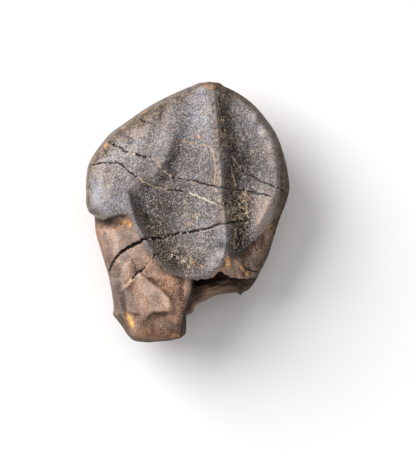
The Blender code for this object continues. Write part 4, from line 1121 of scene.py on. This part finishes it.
@dataclass(frozen=True)
class Dentine:
    """Pinkish-brown dentine: mottled with orange-brown, smeared with grey and streaked lengthwise."""

    shade: Tint = (0.11, 0.063, 0.043)
    body: Tint = (0.35, 0.212, 0.153)
    light: Tint = (0.61, 0.43, 0.337)
    rust: Tint = (0.38, 0.185, 0.09)
    grey: Tint = (0.15, 0.128, 0.115)

    def lay(self, g: Graph) -> Coat:
        """Clouds, streaks, grain, the relief's painted shade, scuffs with painted light, dirt with painted
        shade and painted shade on the right side pick the brown, and rust and grey smears go over it.
        """
        speck, blotch, cloud = g.noise(0.17, 1.0, seed=47), g.noise(0.9, 3, seed=43), g.noise(3.0, 3, seed=41)
        side, warm = g.marks("right_side", "warm")
        root_streak = g.noise(0.4, 3, (1.0, 5.0, 1.0), -8.0, seed=53)
        side_streak = g.noise(0.9, 3, (1.0, 6.0, 2.0), -24.0, seed=59)
        streak = root_streak * (1.0 - side) * (0.9 - warm * 0.8) + side_streak * side * 4.5
        relief_shade, dirt_and_shade, scuffs_and_light = g.marks("relief_shade", "dirt_and_shade", "scuffs_and_light")
        # Painted shade: the hollows, the dirt and the right side are darker; painted light makes the lit and
        # scuffed places paler.
        tone = 0.5 + cloud * 0.7 + streak * 0.9 + blotch * 1.2 + (speck * 3.1).most(-0.13) + relief_shade * 1.8
        tone = tone + scuffs_and_light * 0.35 - dirt_and_shade * 0.6 - side * 0.12
        colour = Colour(g, self.shade).mix(self.body, tone.ramp(-0.05, 0.6))
        colour = colour.mix(self.light, tone.ramp(0.5, 1.3))
        flake = g.mark("flake").ramp(-0.1, 0.3)
        rust = g.noise(0.9, 3, seed=67) - flake * 0.06 + g.noise(0.25, 1, seed=68) * 0.25
        rust = rust + g.noise(2.5, 1, seed=69) * 0.4
        rusty = Colour(g, self.rust).lit(0.3 + tone * 1.2)
        colour = colour.mix(rusty, (rust + warm * 0.3).ramp(0.03, 0.22) * 0.65)
        smear = streak * 0.7 + g.noise(1.8, 2, seed=71) - warm * 0.35
        colour = colour.mix(Colour(g, self.grey).lit(0.5 + tone), smear.ramp(0.02, 0.2) * 0.6)
        roughness = 0.55 + speck * 0.5 + dirt_and_shade * 0.2
        height = speck * 0.04 + streak * 0.07 + blotch * 0.14
        return Coat(colour, roughness, height)


@dataclass(frozen=True)
class Fracture:
    """Old broken faces: coarse and matt, layered across, painted dark as shade in the recess under the crown
    and beside the prong, and lighter brown on the low stub.
    """

    dark: Tint = (0.03, 0.017, 0.011)
    band: Tint = (0.13, 0.085, 0.066)
    brown: Tint = (0.29, 0.175, 0.125)

    def lay(self, g: Graph) -> Coat:
        """Coarse dark layers drawn out across the break, standing in for the recess's shade, which pass into
        open brown further from the crown.
        """
        layers = g.noise(0.4, 3, (5.0, 1.0, 0.6), -8.0, seed=61)
        speck = g.noise(0.2, 1, seed=67)
        # Painted shade: the layers stay dark in the recess under the crown, and open into brown further out
        # on the stub.
        out, steep = (g.mark("past_base") + layers * 1.5).ramp(1.2, 2.1), g.mark("lost")
        colour = Colour(g, self.dark).mix(self.band, (layers + speck * 0.5).ramp(-0.02, 0.16) * 0.85)
        colour = colour.mix(Colour(g, self.brown).lit(1.1 + layers * 2.8 + speck * 1.5), out)
        # Painted shade on the prong's steep broken side and on the stub beside it.
        inner = g.mark("beside").ramp(3.0, 1.4) * g.mark("rim").ramp(0.2, 0.6)
        shaded = (steep.ramp(0.1, 0.3) * steep.ramp(1.0, 0.8)).most(inner)
        colour = colour.mix(self.dark, shaded * 0.88)
        return Coat(colour, 0.7 + speck, layers * 0.35 + speck * 0.08)


@dataclass(frozen=True)
class Fossil:
    """The tooth's whole finish: enamel over dentine, broken faces, painted shadow and shade with a worn, lit
    band, ochre stains and cracks.
    """

    worn_lit_crest: Tint = (0.3, 0.29, 0.3)
    painted_shadow: Tint = (0.045, 0.038, 0.035)
    edge_shade: Tint = (0.055, 0.036, 0.024)
    ochre: Tint = (0.55, 0.26, 0.1)
    peach: Tint = (0.75, 0.44, 0.24)
    straw: Tint = (0.9, 0.56, 0.14)
    open_crack_shade: Tint = (0.02, 0.011, 0.008)
    mineral: Tint = (0.6, 0.38, 0.24)
    chalk: Tint = (0.85, 0.76, 0.58)

    def material(self) -> bpy.types.Material:
        """Builds the material from its coats, laid over each other from the inside out."""
        material = bpy.data.materials.new("fossil_tooth")
        material.use_nodes = True
        g = Graph(material)
        ragged, wander = g.noise(0.5, 3, seed=73), g.noise(2.5, 2, seed=75)
        enamel_mask = (g.mark("enamel") + ragged * 0.5).ramp(-0.05, 0.1)
        enamel_mask = enamel_mask * (g.mark("rim") + ragged + wander).ramp(-0.65, -0.35)
        coat = Dentine().lay(g).under(Enamel().lay(g), enamel_mask)
        coat = coat.under(Fracture().lay(g), g.mark("lost").ramp(0.05, 0.4))
        coat = self.wear_and_shade(g, coat)
        coat = self.stain(g, coat)
        coat = self.crack(g, coat)
        bump = g.node("ShaderNodeBump", {}, {"Strength": 1.0, "Distance": MM, "Height": coat.height})
        surface = g.node("ShaderNodeBsdfPrincipled", {}, {
            "Base Color": coat.colour,
            "Roughness": coat.roughness,
            "Coat Weight": (enamel_mask * 0.28 + 0.1) * g.mark("margin").ramp(0.7, 1.8),
            "Coat Roughness": 0.35,
            "Specular IOR Level": 0.08,
            "Normal": bump.outputs[0],
        })  # fmt: skip
        g.node("ShaderNodeOutputMaterial", {}, {"Surface": surface.outputs[0]})
        return material

    def wear_and_shade(self, g: Graph, coat: Coat) -> Coat:
        """A paler grey band on the basin wall's crest, partly worn and partly a painted highlight; painted
        shadow at its foot and under the enamel's lip; and painted shade along the right and lower rims.
        """
        wall, front = g.mark("wall") + g.noise(0.6, 2, seed=79) * 0.5, g.mark("front")
        past_base = g.mark("past_base") + g.noise(0.8, 2, seed=81)
        # The crest band is partly worn and partly a painted highlight.
        band = wall.ramp(-0.45, -0.3) * wall.ramp(0.1, 0.0) * front * past_base.ramp(-1.0, -2.6)
        # Painted shadow at the foot of the basin wall.
        foot = wall.ramp(0.0, 0.15) * wall.ramp(1.5, 0.4) * front
        worn = Colour(g, self.worn_lit_crest).lit(0.85 + g.noise(0.2, 1, seed=83) * 3.0)
        colour = coat.colour.mix(self.painted_shadow, foot * 0.6).mix(worn, band * 0.7)
        # Painted shadow under the enamel's lip.
        lip = g.mark("enamel") + g.noise(0.4, 3, seed=85) * 0.8
        under_lip = lip.ramp(-1.1, -0.2) * lip.ramp(0.12, -0.05) * g.mark("dirt_and_shade")
        colour = colour.mix(self.painted_shadow, under_lip * 0.85)
        # Painted shade along the right and lower rims.
        edge = g.mark("edge") * (1.15 + g.noise(0.6, 3, seed=87) * 2.0)
        mottle = g.noise(0.22, 2, seed=88) + g.noise(0.7, 1, seed=90) * 0.5
        colour = colour.mix(Colour(g, self.edge_shade).lit(0.8 + mottle.ramp(0.0, 0.3) * 4.0), edge)
        return Coat(colour, coat.roughness + foot * 0.1, coat.height)

    def stain(self, g: Graph, coat: Coat) -> Coat:
        """Ochre stains with peach hearts, and straw in the strongest, broken up by noise."""
        broken = g.noise(0.5, 3, seed=89) * 1.3 + g.noise(0.17, 1, seed=93) * 0.7
        stain = g.mark("stain") * (1.0 + g.noise(0.35, 2, seed=91) * 2.4) + broken
        colour = coat.colour
        for tint, low, high, cover in (
            (self.ochre, 0.4, 0.62, 0.75), (self.peach, 0.8, 1.0, 0.8), (self.straw, 1.15, 1.3, 0.92),
        ):  # fmt: skip
            colour = colour.mix(tint, stain.ramp(low, high) * cover)
        return Coat(colour, coat.roughness + stain.ramp(0.35, 0.75) * 0.15, coat.height)

    def crack(self, g: Graph, coat: Coat) -> Coat:
        """Open cracks painted dark as shade in the crevice, and pale filled ones, drawn by their signed
        distance so that they stay thin.
        """
        wander = g.noise(0.7, 1, seed=96) * 0.3 + g.noise(0.28, 1, seed=97) * 0.22
        away, half = abs(g.mark("crack_side") + wander), g.mark("crack_width")
        fill = g.mark("crack_fill") + g.noise(0.5, 1, seed=105) * 0.9
        filled = fill.ramp(0.28, 0.45)
        beaded = g.noise(0.5, 1, seed=101).ramp(-0.12, 0.1).most(g.mark("enamel").ramp(0.4, -0.2) * 0.6)
        width = half * (0.5 - filled * 0.15 + beaded * 1.2)
        there = half.ramp(0.005, 0.03)
        line = ((width - away) / 0.05).ramp(-0.5, 0.8) * there
        gaps = filled * (g.noise(0.4, 2, seed=109) + fill * 0.15).ramp(0.07, -0.04)
        line = line * (1.0 - gaps * 0.85)
        grains = g.grains(0.42, 3).ramp(0.42, 0.26) * g.noise(1.0, 1, seed=108).ramp(-0.2, -0.06)
        beads = ((width + 0.1 - away) / 0.05).ramp(-0.5, 0.8) * half.ramp(0.09, 0.12) * grains
        beads = beads * g.mark("enamel").ramp(-0.3, 0.3)
        mineral = Colour(g, self.mineral).mix(self.chalk, fill.ramp(0.65, 0.9))
        # Open cracks are painted dark as shade; filled ones take the mineral's colour.
        lining = Colour(g, self.open_crack_shade).mix(mineral, filled)
        colour = coat.colour.mix(lining, line * (0.98 - filled * 0.15))
        colour = colour.mix(Colour(g, self.chalk).lit(0.85), beads * 0.8)
        roughness = coat.roughness.most(line * 0.8)
        return Coat(colour, roughness, coat.height - line * (0.2 - filled * 0.2))


# ---------------------------------------------------------------------------------- studio


@dataclass(frozen=True)
class Lamp:
    """A square area light aimed at the tooth: its place and size in millimetres, and its power in watts."""

    name: str
    place: tuple[float, float, float]
    size: float
    power: float

    def add(self) -> None:
        """Puts the light in the scene."""
        light = bpy.data.lights.new(self.name, "AREA")
        light.size = self.size * MM
        light.energy = self.power
        lamp = bpy.data.objects.new(self.name, light)
        lamp.location = [c * MM for c in self.place]
        lamp.rotation_euler = (-lamp.location).to_track_quat("-Z", "Y").to_euler()
        bpy.context.scene.collection.objects.link(lamp)


@dataclass(frozen=True)
class Studio:
    """A pale floor, soft light from the upper left, and a long lens straight above."""

    frame_height: float = 62.09
    centre: tuple[float, float] = (2.79, -1.83)
    focus_height: float = 9.0
    distance: float = 600.0
    sensor: float = 36.0
    floor: Tint = (0.93, 0.93, 0.93)
    floor_reach: float = 2.0
    floor_roughness: float = 0.9
    sky: float = 0.38
    lamps: tuple[Lamp, ...] = (
        Lamp("key", (-806.0, 546.0, 858.0), 1000.0, 20.0),
        Lamp("overhead", (120.0, 420.0, 1260.0), 700.0, 2.2),
    )

    def set_up(self) -> None:
        """Puts the floor, lights, sky and camera in the scene."""
        self.lay_floor()
        for lamp in self.lamps:
            lamp.add()
        world = bpy.data.worlds.new("studio")
        world.use_nodes = True
        world.node_tree.nodes["Background"].inputs["Color"].default_value = (1.0, 1.0, 1.0, 1.0)
        world.node_tree.nodes["Background"].inputs["Strength"].default_value = self.sky
        bpy.context.scene.world = world
        bpy.context.scene.view_settings.view_transform = "Standard"
        self.place_camera()

    def lay_floor(self) -> None:
        """A broad pale sheet under the tooth."""
        mesh = bpy.data.meshes.new("floor")
        reach = self.floor_reach
        corners = [(-reach, -reach, 0), (reach, -reach, 0), (reach, reach, 0), (-reach, reach, 0)]
        mesh.from_pydata(corners, [], [(0, 1, 2, 3)])
        material = bpy.data.materials.new("floor")
        material.use_nodes = True
        shader = material.node_tree.nodes["Principled BSDF"]
        shader.inputs["Base Color"].default_value = (*self.floor, 1.0)
        shader.inputs["Roughness"].default_value = self.floor_roughness
        mesh.materials.append(material)
        floor = bpy.data.objects.new("floor", mesh)
        bpy.context.scene.collection.objects.link(floor)

    def place_camera(self) -> None:
        """Straight above, with the lens that makes the frame as high as frame_height at focus_height."""
        camera = bpy.data.cameras.new("camera")
        camera.sensor_width = self.sensor
        camera.lens = self.sensor * (self.distance - self.focus_height) / self.frame_height
        camera.clip_end = 10.0
        holder = bpy.data.objects.new("camera", camera)
        holder.location = (self.centre[0] * MM, self.centre[1] * MM, self.distance * MM)
        bpy.context.scene.collection.objects.link(holder)
        bpy.context.scene.camera = holder


def main() -> None:
    """Builds the tooth and its studio."""
    logging.basicConfig(level=logging.INFO, format="%(name)s: %(message)s")
    tooth = Tooth().build()
    tooth.data.materials.append(Fossil().material())
    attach(tooth, "root")
    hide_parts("tooth")
    Studio().set_up()
    LOG.info("sizes written")


if __name__ == "__main__":
    main()
